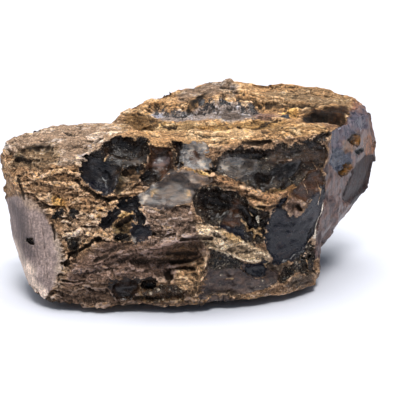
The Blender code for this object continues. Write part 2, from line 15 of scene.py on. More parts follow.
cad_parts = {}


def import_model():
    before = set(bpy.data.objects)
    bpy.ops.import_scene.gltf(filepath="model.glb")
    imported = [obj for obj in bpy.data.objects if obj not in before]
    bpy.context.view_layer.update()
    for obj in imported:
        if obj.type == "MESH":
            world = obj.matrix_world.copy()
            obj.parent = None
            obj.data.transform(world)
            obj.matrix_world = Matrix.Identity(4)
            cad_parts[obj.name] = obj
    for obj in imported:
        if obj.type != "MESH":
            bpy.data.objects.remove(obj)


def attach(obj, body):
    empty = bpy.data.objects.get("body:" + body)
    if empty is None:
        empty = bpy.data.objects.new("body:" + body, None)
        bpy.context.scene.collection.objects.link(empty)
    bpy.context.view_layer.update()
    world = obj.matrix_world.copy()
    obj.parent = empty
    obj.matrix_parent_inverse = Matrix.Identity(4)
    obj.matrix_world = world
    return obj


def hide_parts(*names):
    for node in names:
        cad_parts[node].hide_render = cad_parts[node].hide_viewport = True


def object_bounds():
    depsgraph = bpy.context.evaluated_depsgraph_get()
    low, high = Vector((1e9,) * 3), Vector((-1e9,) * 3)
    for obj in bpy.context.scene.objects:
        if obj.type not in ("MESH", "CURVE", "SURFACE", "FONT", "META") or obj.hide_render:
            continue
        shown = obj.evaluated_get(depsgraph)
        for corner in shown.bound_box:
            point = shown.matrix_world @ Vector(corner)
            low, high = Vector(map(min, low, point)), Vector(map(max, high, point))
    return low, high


MM = 0.001
FINE_STEP = 0.38
MOST_FACES = 190000

# The block, the sight sheet and the broken panes, as in the solid.
FRONT_BLOCK = {
    "base": [
        (-39, -20, -1), (-42, -12, -1), (-26, -21, -1), (-6, -21, -1), (4, -20, -1), (13, -17, -1),
        (23, -12, -1), (30, -7, -1), (34, -2, -1), (33, 22, -1), (8, 27, -1), (-24, 17, -1), (-42, 2, -1),
    ],
    "foot": [
        (-47.3, -17, 2.6), (-45, -25.5, 2.3), (-40, -30.3, 1.9), (-28, -31.6, 2.2), (-8, -32.2, 1.9),
        (3, -31.2, 1.9), (13, -29.2, 2.2), (21, -25.6, 2), (31, -20.5, 1.6), (37, -14.5, 2),
        (39.8, -10.8, 3.4), (39, 2, 1.4),
    ],
    "waist": [
        (-38, -28, 14.4), (-48, -21, 30.4), (-51, -9, 5.4), (-53.5, -6, 14.4), (-56, -5, 30.4),
        (-8, -32, 21.4), (8, -30, 23.4), (40.3, -10.5, 7.4), (40, -12, 15.4), (40, -12, 35.4),
        (-54, 2, 25.4),
    ],
    "top": [
        (-56, -9.5, 43), (-53, -7, 45.4), (-50, -3, 46.4), (-46, 1, 47), (-36, -22, 41.4), (-23, -16, 47.4),
        (-12, -17, 48.4), (7, -19, 47.4), (22, -17, 47.4), (40, -13, 49.4), (-34, 4, 46.8), (-25, 6, 46.4),
    ],
}
BACK_BLOCK = {
    "foot": [(38, 10, 3), (34, 26, 0), (6, 30, 1), (-22, 18, 4)],
    "waist": [
        (40, -11, 17.4), (44, 14, 10.4), (50.2, 16, 17.4), (54.2, 18, 23.4), (56.0, 17, 31.4),
        (56.7, 17, 36.4), (46, 31, 25.4), (12, 32, 29.4), (-18, 22, 31.4),
    ],
    "top": [
        (-24, 6, 46.4), (-21, 10, 49.4), (-16, 14, 51.7), (-8, 18, 52.4), (0, 24, 53.8), (5, 28, 54.4),
        (12, 29, 53.6), (19, 30, 51), (34, 31, 50.6), (41, 30, 51.4), (49.4, 27, 49.6), (53.4, 22, 47.6),
        (55.6, 19, 46), (40, -12, 49.4),
    ],
}
SIGHT_AIM = np.array([2.4, 0.0, 24.3])
SIGHT_DISTANCE = 500.0
SIGHT_TILT = math.radians(18)
SIGHT_STEP = 0.3
SHEET_MIDDLE = 200
AHEAD = np.array([0.0, math.cos(SIGHT_TILT), -math.sin(SIGHT_TILT)])
UPWARD = np.array([0.0, math.sin(SIGHT_TILT), math.cos(SIGHT_TILT)])
SIGHT_POINT = SIGHT_AIM - AHEAD * SIGHT_DISTANCE

# Broken panes of the front: outline in sheet steps, depth in mm at the outline's middle, how much
# deeper it gets per mm to the right and down, how steep its rim is, and its look. A later pane
# paints over an earlier one.
FRONT_PANES = {
    "upper_left_hollow": (
        [(80, 160), (86, 154), (93, 151), (99, 148), (104, 143), (110, 139), (120, 138), (131, 141),
         (138, 140), (142, 138), (148, 138), (150, 143), (152, 150), (150, 160), (147, 167), (138, 171),
         (131, 167), (122, 171), (118, 180), (116, 190), (108, 195), (98, 192), (86, 185), (80, 175)],
        4.8, (-0.04, -0.16), 1.6, "black"),
    "upper_left_lobe": (
        [(82, 162), (93, 159), (104, 162), (112, 168), (117, 180), (115, 192), (106, 196), (93, 188),
         (84, 180)],
        6.0, (0.25, 0.08), 2.0, "blue_black"),
    "lobe_shelf": (
        [(84, 181), (96, 180), (108, 185), (112, 190), (104, 194), (92, 189)],
        4.6, (0.1, -0.6), 2.0, "slate"),
    "upper_left_roof": (
        [(106, 145), (112, 141), (122, 139), (135, 140), (147, 141), (149, 154), (134, 157), (119, 158),
         (108, 154)],
        6.4, (0.0, 0.20), 1.8, "black"),
    # Painted sheen: a lighter grey facet under the roof.
    "roof_sheen": (
        [(122, 161), (134, 158), (141, 157), (148, 153), (149, 159), (142, 164), (131, 165)],
        4.2, (0.0, -0.40), 1.8, "sheen_ash"),
    "inner_crust": (
        [(112, 172), (122, 166), (133, 163), (148, 164), (146, 174), (138, 186), (130, 190), (116, 198),
         (110, 192)],
        2.6, (-0.1, -0.1), 1.0, None),
    "plum_pane": (
        [(149, 143), (158, 147), (172, 148), (174, 160), (172, 174), (165, 181), (158, 183), (150, 180),
         (146, 170), (148, 155)],
        3.6, (0.12, -0.16), 1.6, "plum"),
    # Painted sheen: a pinkish spot on the plum pane.
    "plum_sheen": (
        [(154, 160), (160, 157), (170, 159), (168, 165), (158, 169), (154, 167)],
        3.8, (0.1, -0.7), 1.6, "sheen_rose"),
    "small_black_pane": (
        [(137, 177), (143, 173), (150, 170), (158, 173), (160, 181), (152, 187), (143, 188), (138, 184)],
        4.6, (0.0, 0.0), 1.8, "black"),
    "upper_groove": (
        [(173, 138), (184, 139), (187, 150), (184, 163), (180, 172), (174, 168), (176, 152)],
        4.0, (0.2, 0.1), 1.6, "umber"),
    # Partly painted sheen: the shiny pane is painted pale.
    "shiny_pane": (
        [(183, 143), (195, 141), (207, 141), (209, 148), (203, 154), (209, 160), (210, 169), (198, 172),
         (183, 169), (181, 158)],
        2.6, (0.0, -0.30), 1.2, "pale"),
    "amber_hole": ([(202, 173), (206, 170), (211, 173), (210, 178), (204, 178)], 3.0, (0, 0), 2.0, "amber"),
    # Painted glints: pale streaks on the shiny pane.
    "shiny_streak_left": (
        [(185, 149), (190, 142), (194, 147), (192, 156), (187, 157)],
        2.8, (0.3, -0.4), 1.6, "glint_silver"),
    "shiny_streak_top": ([(197, 141), (207, 141), (206, 147), (199, 148)], 2.6, (-0.2, -0.4), 1.6, "glint_silver"),
    "shiny_streak_right": (
        [(196, 156), (203, 156), (209, 167), (201, 169), (198, 163)],
        2.7, (0.2, -0.5), 1.6, "glint_silver"),
    "shiny_gap": (
        [(191, 150), (196, 149), (200, 155), (196, 163), (192, 168), (189, 160)],
        3.4, (0.0, 0.2), 1.8, "plum"),
    "facet_band": (
        [(176, 171), (195, 174), (214, 178), (208, 184), (199, 188), (188, 186), (180, 179)],
        1.9, (0.02, -0.46), 1.2, "mauve"),
    "bright_facet": (
        [(138, 200), (143, 194), (150, 186), (158, 183), (163, 177), (170, 173), (180, 173), (187, 180),
         (190, 186), (200, 187), (199, 193), (191, 203), (178, 207), (160, 208), (146, 206)],
        2.7, (0.02, -0.55), 1.5, "pearl"),
    # Painted glint: a pale streak at the bright facet's left edge.
    "facet_glint": ([(138, 202), (141, 196), (148, 191), (155, 184), (154, 189), (147, 197), (142, 206)],
                    2.8, (0.05, -0.60), 1.5, "glint_silver"),
    "facet_ochre": ([(150, 192), (155, 190), (157, 194), (152, 197)], 2.6, (0.0, -0.5), 1.5, "ochre"),
    "facet_ochre_right": ([(185, 193), (189, 192), (189, 198), (185, 198)], 2.6, (0.0, -0.5), 1.5, "ochre"),
    "upper_right_field": (
        [(211, 161), (222, 155), (226, 146), (232, 149), (238, 145), (243, 149), (270, 148), (277, 143),
         (287, 145), (293, 141), (302, 143), (312, 140), (324, 143), (328, 156), (322, 168), (313, 172),
         (307, 178), (301, 188), (292, 190), (270, 190), (250, 189), (240, 183), (231, 176), (218, 175),
         (210, 170)],
        2.6, (0.0, -0.06), 1.8, "rubble"),
    # Partly painted sheen: the streaked facet is a lighter grey.
    "streaked_facet": (
        [(215, 168), (222, 156), (230, 152), (244, 155), (256, 159), (256, 172), (251, 182), (240, 181),
         (228, 175)],
        4.2, (0.10, -0.26), 1.8, "grey"),
    # Painted glint: a pale streak on the streaked facet.
    "streak_glint": ([(219, 164), (226, 157), (236, 156), (246, 162), (240, 166), (231, 164), (224, 170)],
                     4.2, (0.1, -0.50), 1.6, "glint_silver"),
    "roof_shadow": (
        [(227, 151), (232, 149), (243, 150), (270, 149), (277, 148), (277, 154), (250, 156), (230, 157)],
        4.4, (0.0, 0.0), 2.0, "black"),
    "far_hollow": (
        [(250, 176), (257, 168), (265, 171), (272, 166), (276, 176), (272, 189), (263, 187), (255, 191),
         (252, 184)],
        5.0, (0.0, 0.1), 1.5, "black"),
    "lens_pane": (
        [(268, 174), (273, 167), (284, 162), (297, 159), (305, 160), (301, 168), (292, 176), (281, 180),
         (271, 179)],
        2.8, (0.0, 0.02), 1.2, "smooth_black"),
    "upper_right_bay": (
        [(268, 152), (278, 149), (292, 150), (303, 151), (303, 159), (288, 162), (270, 164)],
        3.0, (0.0, -0.2), 1.4, "brown"),
    "upper_right_pocket": (
        [(278, 182), (286, 179), (293, 182), (293, 189), (282, 191)], 4.0, (0, 0), 1.6, "black"),
    "corner_pane": (
        [(302, 149), (312, 142), (325, 143), (328, 157), (318, 170), (308, 173), (302, 163)],
        2.0, (0.0, -0.1), 1.2, "brown"),
    "corner_slope": (
        [(294, 192), (306, 178), (313, 170), (322, 168), (326, 182), (316, 198), (307, 206), (296, 202)],
        1.7, (0.0, -0.1), 1.2, "plum"),
    "edge_wedge": (
        [(293, 135), (302, 140), (312, 139), (320, 133), (330, 130), (334, 133), (325, 141), (312, 146),
         (300, 143)],
        3.0, (0, 0), 1.8, "black"),
    "middle_field": (
        [(194, 194), (202, 188), (212, 185), (222, 189), (231, 193), (240, 197), (250, 200), (253, 207),
         (264, 211), (272, 213), (273, 222), (268, 229), (265, 238), (263, 247), (250, 246), (243, 243),
         (236, 236), (228, 231), (219, 229), (211, 224), (204, 219), (197, 214), (192, 204)],
        3.4, (0.0, -0.10), 1.6, "rubble"),
    "middle_hollow": (
        [(198, 196), (206, 190), (218, 191), (236, 197), (236, 208), (232, 216), (222, 220), (206, 217),
         (197, 208)],
        5.6, (0.04, -0.22), 1.8, "black"),
    "hollow_facet": (
        [(235, 204), (241, 201), (242, 226), (232, 229), (223, 227), (226, 220), (232, 215)],
        4.2, (-0.4, 0.1), 1.8, "plum"),
    "middle_right_hollow": (
        [(241, 201), (248, 203), (256, 211), (262, 222), (258, 236), (250, 243), (243, 237), (242, 222)],
        5.6, (-0.08, -0.10), 1.8, "black"),
    "hollow_floor": (
        [(220, 226), (236, 227), (245, 231), (242, 241), (234, 235), (226, 231)],
        4.4, (0, -0.3), 1.8, "slate"),
    "slate_face": (
        [(282, 195), (289, 195), (288, 207), (292, 215), (298, 217), (304, 213), (309, 205), (313, 197),
         (322, 184), (328, 198), (326, 216), (325, 228), (323, 240), (314, 247), (308, 256), (298, 259),
         (293, 264), (283, 266), (272, 267), (270, 258), (266, 252), (264, 244), (266, 236), (267, 226),
         (273, 216), (279, 208), (281, 202)],
        1.8, (0.03, 0.02), 1.2, "slate"),
    "slate_sheen": (
        [(301, 217), (307, 209), (314, 197), (322, 186), (328, 198), (326, 214), (318, 222), (308, 228)],
        1.8, (0.03, 0.02), 1.2, "slate_light"),
    "lower_face": (
        [(209, 250), (222, 250), (234, 257), (244, 262), (262, 260), (276, 268), (280, 278), (276, 285),
         (262, 292), (246, 299), (232, 305), (215, 308), (201, 307), (199, 298), (203, 282), (206, 268)],
        1.9, (0.02, -0.05), 1.2, "dusty"),
    "lower_black": (
        [(209, 250), (222, 251), (233, 257), (242, 263), (240, 270), (224, 269), (208, 271)],
        2.4, (0, -0.2), 1.4, "rubble"),
    "lower_blue_pane": (
        [(242, 264), (252, 261), (262, 258), (271, 261), (266, 274), (254, 279), (246, 273)],
        2.6, (0, 0.1), 1.5, "slate"),
    "crackled_corner": (
        [(283, 270), (292, 263), (300, 258), (309, 254), (313, 246), (319, 243), (322, 251), (323, 262),
         (323, 274), (309, 277), (299, 273), (292, 278), (283, 286), (278, 281)],
        2.2, (0.0, 0.0), 1.4, "rubble"),
    "undercut": (
        [(120, 262), (142, 256), (165, 247), (185, 241), (202, 240), (207, 249), (203, 264), (196, 279),
         (180, 277), (165, 279), (150, 273), (132, 270)],
        5.4, (0.16, 0.14), 1.1, None),
    "lower_dark_pane": (
        [(111, 281), (125, 279), (139, 280), (142, 288), (136, 296), (128, 301), (114, 299), (110, 290)],
        3.0, (0.0, -0.24), 1.6, "umber"),
    "lower_dark_notch": (
        [(141, 281), (149, 278), (158, 279), (157, 288), (148, 292), (142, 288)],
        3.6, (0, 0), 1.8, "black"),
    "foot_rubble": (
        [(140, 288), (150, 290), (160, 285), (172, 286), (183, 291), (184, 300), (166, 304), (148, 303)],
        1.2, (0.0, 0.0), 1.4, "amber_rubble"),
    "low_blue_pane": (
        [(130, 227), (138, 225), (147, 227), (150, 234), (146, 241), (140, 244), (134, 248), (129, 243),
         (127, 236)],
        3.0, (-0.1, -0.12), 1.8, "slate_light"),
    # Painted glint: a thin pale streak at the low blue pane's edge.
    "low_blue_glint": ([(129, 241), (133, 245), (135, 244), (131, 240)], 3.0, (-0.2, -0.5), 1.6, "glint_silver"),
    "riser_wedge": (
        [(187, 101), (191, 98), (197, 96), (205, 94), (202, 98), (195, 101)],
        1.2, (0, 0), 1.8, None),
    "high_blue_pane": (
        [(115, 205), (124, 200), (136, 198), (141, 204), (141, 210), (146, 217), (146, 227), (136, 227),
         (131, 221), (134, 215), (130, 213), (118, 213)],
        3.0, (0.0, -0.1), 1.8, "blue_black"),
    "slanted_pane": (
        [(96, 227), (98, 220), (105, 214), (115, 208), (122, 208), (121, 214), (114, 222), (107, 229),
         (100, 232)],
        3.4, (0.0, 0.0), 1.8, "blue_black"),
    "tongue_shadow": (
        [(110, 238), (122, 237), (129, 240), (127, 245), (112, 245)],
        2.6, (0, 0), 1.8, "rubble"),
    "left_pit": (
        [(66, 241), (71, 238), (77, 241), (79, 247), (74, 253), (68, 250)], 2.6, (0, 0), 2.0, "rubble"),
    "left_upper_pit": (
        [(51, 220), (54, 213), (62, 208), (65, 212), (59, 219), (54, 223)], 2.2, (0, 0), 1.8, "black"),
    "left_small_pit": ([(68, 210), (74, 208), (78, 213), (73, 218), (69, 216)], 1.8, (0, 0), 1.8, "black"),
    "left_face_pit": ([(25, 241), (33, 239), (33, 247), (29, 247)], 1.8, (0, 0), 2.0, "black"),
    "left_brow": (
        [(21, 150), (40, 146), (60, 146), (57, 158), (48, 167), (30, 168), (12, 166)],
        1.1, (0, 0), 0.8, None),
}

# Dark glassy flecks of the top's riser: where each one lies on the sheet, and half its width, in mm.
RISER_FLECKS = [
    ((150, 103), 0.7), ((157, 104), 0.8), ((163, 102), 0.8), ((167, 105), 0.9), ((173, 103), 1.0),
    ((178, 106), 0.8), ((182, 105), 0.9), ((202, 101), 0.9), ((206, 104), 0.8), ((210, 101), 0.9),
    ((214, 104), 0.7), ((223, 100), 0.8), ((231, 103), 0.7), ((238, 100), 0.8), ((243, 103), 0.8),
    ((252, 102), 0.9), ((256, 105), 0.8), ((247, 106), 0.8), ((285, 110), 1.3), ((333, 133), 0.8),
]

# Ridges (above 0) and cracks (below 0) of the front: a line on the sheet, half width and height, mm.
FRONT_LINES = {
    "long_ledge": (
        [(198, 173), (212, 178), (226, 185), (240, 190), (258, 195), (275, 198), (288, 193), (294, 186)],
        1.9, 1.7),
    "ledge_underside": ([(250, 200), (262, 207), (276, 204)], 1.5, 1.2),
    "low_ledge": (
        [(193, 227), (210, 229), (225, 235), (238, 242), (250, 248), (262, 251), (269, 259)],
        1.7, 1.6),
    "lower_ledge": ([(210, 247), (224, 251), (238, 260), (250, 262), (258, 259)], 1.0, 1.0),
    "blue_pane_rim": ([(238, 268), (246, 276), (255, 279), (266, 277)], 0.7, 0.8),
    "corner_lump": ([(289, 207), (296, 201), (303, 206), (299, 214)], 1.7, 1.2),
    "tan_patch": ([(264, 264), (272, 270), (280, 268), (290, 263)], 1.4, 0.8),
    "foot_lump": ([(285, 287), (296, 280), (308, 281), (318, 277)], 1.5, 0.9),
    "foot_rim": ([(240, 299), (255, 294), (268, 290), (278, 286)], 1.0, 0.7),
    "chip_on_lower_face": ([(226, 280), (232, 280)], 1.1, 1.2),
    "white_chip": ([(260, 218), (262, 223)], 1.5, 2.6),
    "hanging_fold": ([(120, 258), (150, 250), (180, 240), (205, 235), (220, 240)], 2.2, 1.4),
    "cavity_ridge": ([(209, 247), (206, 260), (202, 275), (198, 290), (194, 302)], 1.3, 1.8),
    "hollow_rib": ([(172, 141), (174, 155), (172, 168)], 1.0, 1.3),
    "thin_rib": ([(148, 153), (147, 160), (144, 168)], 0.45, 1.2),
    "hollow_lip": ([(108, 196), (118, 194), (127, 188), (137, 184)], 1.0, 1.3),
    "lens_ledge": ([(272, 164), (282, 161), (292, 160)], 0.6, 1.0),
    "corner_fibre": ([(305, 150), (313, 161), (318, 168)], 0.4, 0.7),
    "slanted_tongue": ([(113, 226), (124, 218), (132, 215)], 1.2, 1.3),
    "tongue_crack": ([(116, 228), (124, 223), (131, 220)], 0.5, -1.4),
    "foot_crack": ([(65, 264), (68, 256), (78, 251), (88, 246), (97, 240)], 0.55, -1.5),
    "under_hollow_crack": ([(76, 180), (84, 188), (95, 195), (106, 199), (128, 199)], 0.42, -1.2),
    "low_crack": ([(64, 280), (73, 282), (85, 281)], 0.45, -1.0),
    "left_edge_crack": ([(19, 178), (20, 190), (22, 202)], 0.4, -0.8),
    "face_edge_crack": ([(51, 229), (54, 236), (54, 241)], 0.4, -0.9),
    "fold_crack": ([(152, 236), (163, 237), (175, 233)], 0.5, -0.7),
    "fold_shadow": ([(180, 240), (195, 238), (212, 238)], 0.9, -1.4),
    "undercut_line": ([(167, 255), (180, 254), (196, 253)], 0.7, -1.0),
    "undercut_seam": ([(170, 269), (183, 268), (194, 270)], 0.8, -1.6),
    "undercut_low_line": ([(172, 263), (186, 261), (200, 256)], 0.7, -1.2),
    "fold_line": ([(104, 262), (122, 256), (146, 250)], 0.5, -0.6),
    "fold_low_line": ([(84, 274), (112, 270), (136, 272)], 0.5, -0.6),
    "fold_spot": ([(95, 261), (104, 258)], 0.8, -0.9),
    "crumb_ridge": ([(243, 221), (249, 227), (248, 232), (256, 230), (262, 235)], 1.1, 0.7),
    "crumb_ridge_low": ([(254, 238), (258, 232), (263, 229)], 0.9, 0.7),
    "crumb_ridge_top": ([(257, 206), (261, 209)], 0.8, 0.5),
    "crumb_ridge_middle": ([(252, 214), (255, 217)], 0.7, 0.4),
    "vein_left": ([(305, 183), (308, 196)], 0.3, 0.25),
    "vein_right": ([(316, 178), (319, 195), (318, 208)], 0.3, 0.25),
    "edge_vein": ([(323, 206), (321, 218), (320, 230), (321, 241)], 0.40, 0.3),
    "corner_vein": ([(314, 256), (313, 272)], 0.35, 0.4),
    "hollow_crumb_left": ([(84, 160), (87, 162)], 0.9, 0.7),
    "hollow_crumb": ([(104, 162), (107, 157)], 1.0, 0.8),
    "face_scratch_left": ([(29, 222), (33, 242), (39, 266)], 0.35, -0.35),
    "face_scratch_right": ([(41, 230), (45, 256), (48, 280)], 0.35, -0.3),
    "top_edge_crack": ([(242, 143), (256, 143), (268, 141)], 0.5, -0.9),
    "ledge_eye": ([(260, 206), (267, 207)], 0.8, -1.8),
    "lump_eye": ([(299, 207), (301, 211)], 0.9, -1.8),
    "cavity_eye": ([(168, 272), (168, 278)], 1.9, -4.2),
}

# Panes of the right end, outlined as the front's are but cut square to that end. The first one is
# the whole end.
END_PANES = {
    "end_face": (
        [(333, 131), (329, 150), (326, 165), (325, 180), (324, 200), (322, 218), (321, 243), (327, 262),
         (350, 262), (410, 180), (400, 112), (364, 106), (350, 113), (342, 122)],
        0.3, (0.0, 0.0), 0.8, "end_mauve"),
    "end_top_strip": (
        [(333, 160), (334, 134), (345, 121), (358, 111), (371, 115), (371, 131), (355, 133), (345, 143)],
        0.5, (0.0, 0.0), 1.0, "end_grey"),
    "end_blue_facet": (
        [(330, 163), (334, 149), (345, 146), (352, 152), (353, 164), (342, 171), (338, 174), (333, 168)],
        1.2, (0.1, 0.0), 1.2, "blue_grey"),
    "end_mauve_patch": (
        [(330, 165), (338, 174), (342, 178), (350, 172), (357, 168), (355, 182), (349, 196), (340, 205),
         (329, 201), (325, 188)],
        0.4, (0.0, 0.0), 1.0, "end_mauve"),
    "end_dark_facet": (
        [(345, 199), (349, 182), (356, 166), (364, 158), (376, 156), (371, 178), (362, 196), (348, 210)],
        1.2, (-0.18, 0.0), 1.4, "end_plum"),
    "end_low_streaks": (
        [(323, 244), (325, 212), (331, 200), (345, 200), (354, 204), (344, 219), (333, 237), (327, 246)],
        0.4, (0.0, 0.0), 1.0, "end_mauve"),
    "end_tan_spot": ([(344, 142), (352, 140), (353, 146), (356, 150), (350, 153), (343, 149)],
                     0.5, (0.0, 0.0), 1.0, "end_tan"),
    "end_knob": ([(365, 141), (371, 137), (378, 146), (377, 153), (369, 156), (364, 149)],
                 0.2, (0.0, 0.0), 1.0, "end_amber"),
    "end_slot": ([(355, 151), (365, 149), (367, 152), (358, 155)], 2.2, (0.0, 0.0), 2.0, "smooth_black"),
    "end_upper_hole": (
        [(351, 140), (353, 136), (358, 134), (361, 137), (360, 144), (357, 147), (352, 144)],
        3.0, (0.0, 0.0), 2.4, "end_umber"),
    "end_upper_glow": ([(356, 146), (358, 142), (360, 137), (361, 141), (359, 146)],
                       2.2, (0.0, 0.0), 2.0, "end_glow"),
    "end_lower_hole": (
        [(338, 173), (343, 169), (352, 164), (354, 168), (348, 175), (341, 178)],
        3.0, (0.0, 0.0), 2.4, "end_umber"),
    "end_lower_glow": ([(345, 176), (349, 171), (353, 165), (354, 168), (350, 174)],
                       2.0, (0.0, 0.0), 2.0, "end_glow"),
}

# Ridges and cracks of the top, on the front's sheet but raised and cut straight up and down.
TOP_LINES = {
    "back_edge_dip": ([(258, 84), (275, 82), (292, 84)], 4.0, -1.1),
    "back_chip": ([(223, 84), (231, 82)], 1.3, 1.0),
    "back_chip_foot": ([(221, 88), (232, 88)], 0.9, -1.0),
    "back_plate_edge": ([(237, 96), (250, 97), (261, 99)], 0.42, -0.9),
    "back_plate": ([(240, 93), (258, 95)], 2.2, 0.5),
    "long_plate_edge": ([(267, 99), (281, 101), (300, 101), (330, 101)], 0.45, -0.9),
    "riser_seam": ([(227, 102), (243, 105), (249, 101)], 0.45, -0.7),
    "shelf_slot": ([(162, 117), (168, 119), (176, 120)], 0.45, -1.0),
    "shelf_plate": ([(160, 116), (176, 117), (190, 118)], 2.0, 0.5),
    "shelf_crack": ([(180, 126), (187, 124), (194, 121)], 0.42, -0.9),
    "shelf_long_crack": ([(247, 129), (258, 124), (268, 119), (280, 115)], 0.42, -0.8),
    "shelf_ridge": ([(196, 133), (222, 130), (243, 130)], 2.4, 0.5),
    "shelf_mark": ([(182, 132), (188, 133)], 0.45, -0.8),
    "left_crack_a": ([(64, 131), (75, 132)], 0.4, -0.8),
    "left_crack_b": ([(86, 138), (94, 139), (101, 137)], 0.4, -0.8),
    "left_crack_c": ([(40, 140), (52, 141), (60, 139)], 0.4, -0.8),
    "shelf_thin_crack": ([(262, 133), (280, 131), (296, 133)], 0.36, -0.8),
    "right_thin_crack": ([(300, 124), (312, 122), (326, 124)], 0.36, -0.8),
    "front_thin_crack": ([(214, 137), (232, 135), (246, 136)], 0.36, -0.8),
    "left_plate": ([(86, 132), (99, 132)], 2.0, 0.5),
}

# Panes away from the front: which way the sheet faces (degrees round from the front, and above
# level), outline in mm right and up on it, then depth, growth, rim steepness and look as above.
SIDE_PANES = {
    "top_shelf": (
        (0, 90),
        [(-12, 14.5), (-2, 13.5), (7, 11), (15, 12.5), (22, 14), (30, 10.5), (38, 7.5), (47, 5.5), (51, 2),
         (46, -6), (36, -16), (18, -20), (0, -22), (-12, -18), (-18, -6), (-19, 5)],
        1.9, (0.0, -0.135), 0.8, None),
    "back_plate_step": (
        (0, 90),
        [(10, 18), (20, 16.5), (32, 14.5), (44, 12.5), (49, 9), (38, 8), (28, 9), (18, 12), (8, 12)],
        0.9, (0.0, 0.0), 1.6, None),
    "right_hollow": (
        (0, 90),
        [(34, 4.5), (37, 6.5), (40, 6), (43, 7.5), (47, 6), (48.5, 3), (45, 1.5), (42, 0.5), (39, 2),
         (36, 2)],
        2.4, (0.0, -0.1), 1.3, None),
}

# Shell-shaped scars of the sides that the front hides: facing, middle (mm right and up on that
# sheet), half width and half height, turn in degrees, depth, growth, rim steepness and look.
SHELLS = {
    "back_great_shell": ((172, 8), (-14, 25), (18, 13), 12, 4.2, (0.05, 0.10), 0.8, "rubble"),
    "back_great_core": ((172, 8), (-17, 28), (11, 8), 25, 6.0, (-0.20, 0.25), 1.4, "black"),
    # Painted sheen, partly: a lighter grey facet on the back.
    "back_great_sheen_facet": ((172, 8), (-6, 20), (8, 5), -25, 5.0, (0.10, -0.45), 1.4, "grey"),
    "back_great_pane": ((172, 8), (-24, 18), (5, 6), 10, 4.6, (0.30, 0.0), 1.5, "plum"),
    "back_lower_shell": ((165, -8), (14, 13), (14, 8), -8, 3.2, (-0.06, 0.0), 0.9, "brown"),
    "back_lower_core": ((165, -8), (17, 12), (8, 5), 10, 4.2, (0.20, 0.15), 1.5, "slate"),
    "back_upper_shell": ((178, 12), (24, 33), (9, 5), 4, 2.6, (0.0, -0.1), 1.1, "rubble"),
    "back_upper_core": ((178, 12), (26, 32), (5, 3), -10, 3.4, (0.0, 0.3), 1.5, "plum"),
    "back_left_shell": ((-132, 0), (6, 25), (12, 12), -15, 3.6, (0.08, 0.0), 0.9, "rubble"),
    "back_left_core": ((-132, 0), (8, 27), (7, 7), -30, 5.2, (0.15, 0.20), 1.5, "blue_black"),
    "back_left_notch": ((-125, 10), (-9, 30), (6, 4), 20, 2.4, (0.0, 0.0), 1.4, "brown"),
    "right_back_shell": ((118, -10), (2, 23), (10, 12), 0, 3.2, (0.0, 0.08), 0.9, "brown"),
    "right_back_core": ((118, -10), (3, 19), (6, 6), 20, 4.2, (0.1, 0.30), 1.5, "black"),
    "right_end_dish": ((66, -14), (8, 22), (10, 15), 8, 1.6, (0.0, 0.0), 0.6, None),
    "under_front_hollow": ((0, -90), (-8, 8), (17, 10), 10, 2.4, (0.0, 0.0), 0.7, None),
    "under_back_hollow": ((0, -90), (10, -13), (14, 8), -12, 2.2, (0.0, 0.0), 0.7, None),
}

# Smooth breaks on the sheet, and how much of the crust's relief they keep.
SMOOTH_LEFT_FACE = [
    (4, 199), (22, 199), (42, 214), (53, 232), (60, 250), (61, 269), (54, 291), (44, 300), (20, 276),
]
SMOOTH_PANES = ("lens_pane", "upper_left_lobe", "bright_facet", "low_blue_pane", "high_blue_pane")
SMOOTH_SLATE_FACE = [(265, 212), (282, 206), (305, 214), (312, 200), (330, 198), (326, 262), (268, 262)]
RIGHT_END_FACING = 62
SMOOTH_SHARE = 0.2

# The crust's main relief, in mm, as in the solid: bedded plates, lumps, draped folds and swells.
BEDDING = np.array([0.06, -0.10, 1.0])
BEDDING_BEND = 1.3
BEND_STRETCH = np.array([0.4, 0.6, 1.0])
PLATE_THICKNESS = 2.3
PLATE_LENGTH = 16
PLATE_WIDTH = 12
PLATE_STRIDE = 7.3
PLATE_HEIGHT = 0.75
PLATE_GAIN = 1.6
HIDDEN_WEAR = 0.7
LUMP_HEIGHT = 0.8
STREAK_WIDTH = 2.8
STREAK_HEIGHT = 0.85
STREAK_SEED = 4
STREAK_LENGTH = 6
STREAK_GAIN = 1.5
STREAK_RISE = math.radians(20)
DRAPED_FRONT = [
    (64, 276), (72, 262), (100, 243), (130, 247), (150, 240), (175, 226), (205, 226), (222, 240),
    (207, 250), (196, 276), (110, 282), (62, 290),
]
RIM_RAGGED = 0.8
LINE_RAGGED = 0.5
ZONE_RAGGED = 0.9
ZONE_FINE_RAGGED = 1.2
WAVE_HEIGHT = 0.9
SWELL_HEIGHT = 2.4
SWELL_LIFT = 1.1
RIDGE_COVER = 1.0

# Panes: the least depth in mm, how fast a rim falls, and where a pane's look is painted.
LEAST_DEPTH = 0.05
RIM_STEEPNESS = 0.75
PAINT_WEIGHT = 0.3
PAINT_MARGIN = 0.1
UNBROKEN = 9.0
END_BARE_GAIN = 4.0
END_BARE_FROM = 0.6
END_PAINT_FROM = -0.5
SHELL_POINTS = 16
SHELL_SWAY = 0.14
SHELL_BLUNTNESS = 0.12

# Noise over the skin: the size of its largest lumps in mm, its seed and its octaves.
ROUGH = {
    "lumps": (9.0, 1, 4),
    "bedding_bend": (12.0, 2, 4),
    "plates": (1.0, 3, 2),
    "ragged": (4.0, 5, 4),
    "swells": (22.0, 6, 2),
    "wave_right": (17.0, 7, 2),
    "wave_back": (17.0, 8, 2),
    "wave_up": (17.0, 9, 2),
    "fine_ragged": (1.3, 11, 4),
    "crumbs": (1.1, 12, 4),
    "rubble": (1.6, 18, 4),
    "worn": (11.0, 20, 2),
    "hidden_brown": (15.0, 21, 3),
    "hidden_mauve": (10.0, 22, 3),
}
FRAGMENT_SEEDS = {"splinters": 13, "crumbs": 23, "folds": 33, "chips": 43, "hackle": 53, "thin_plates": 63}

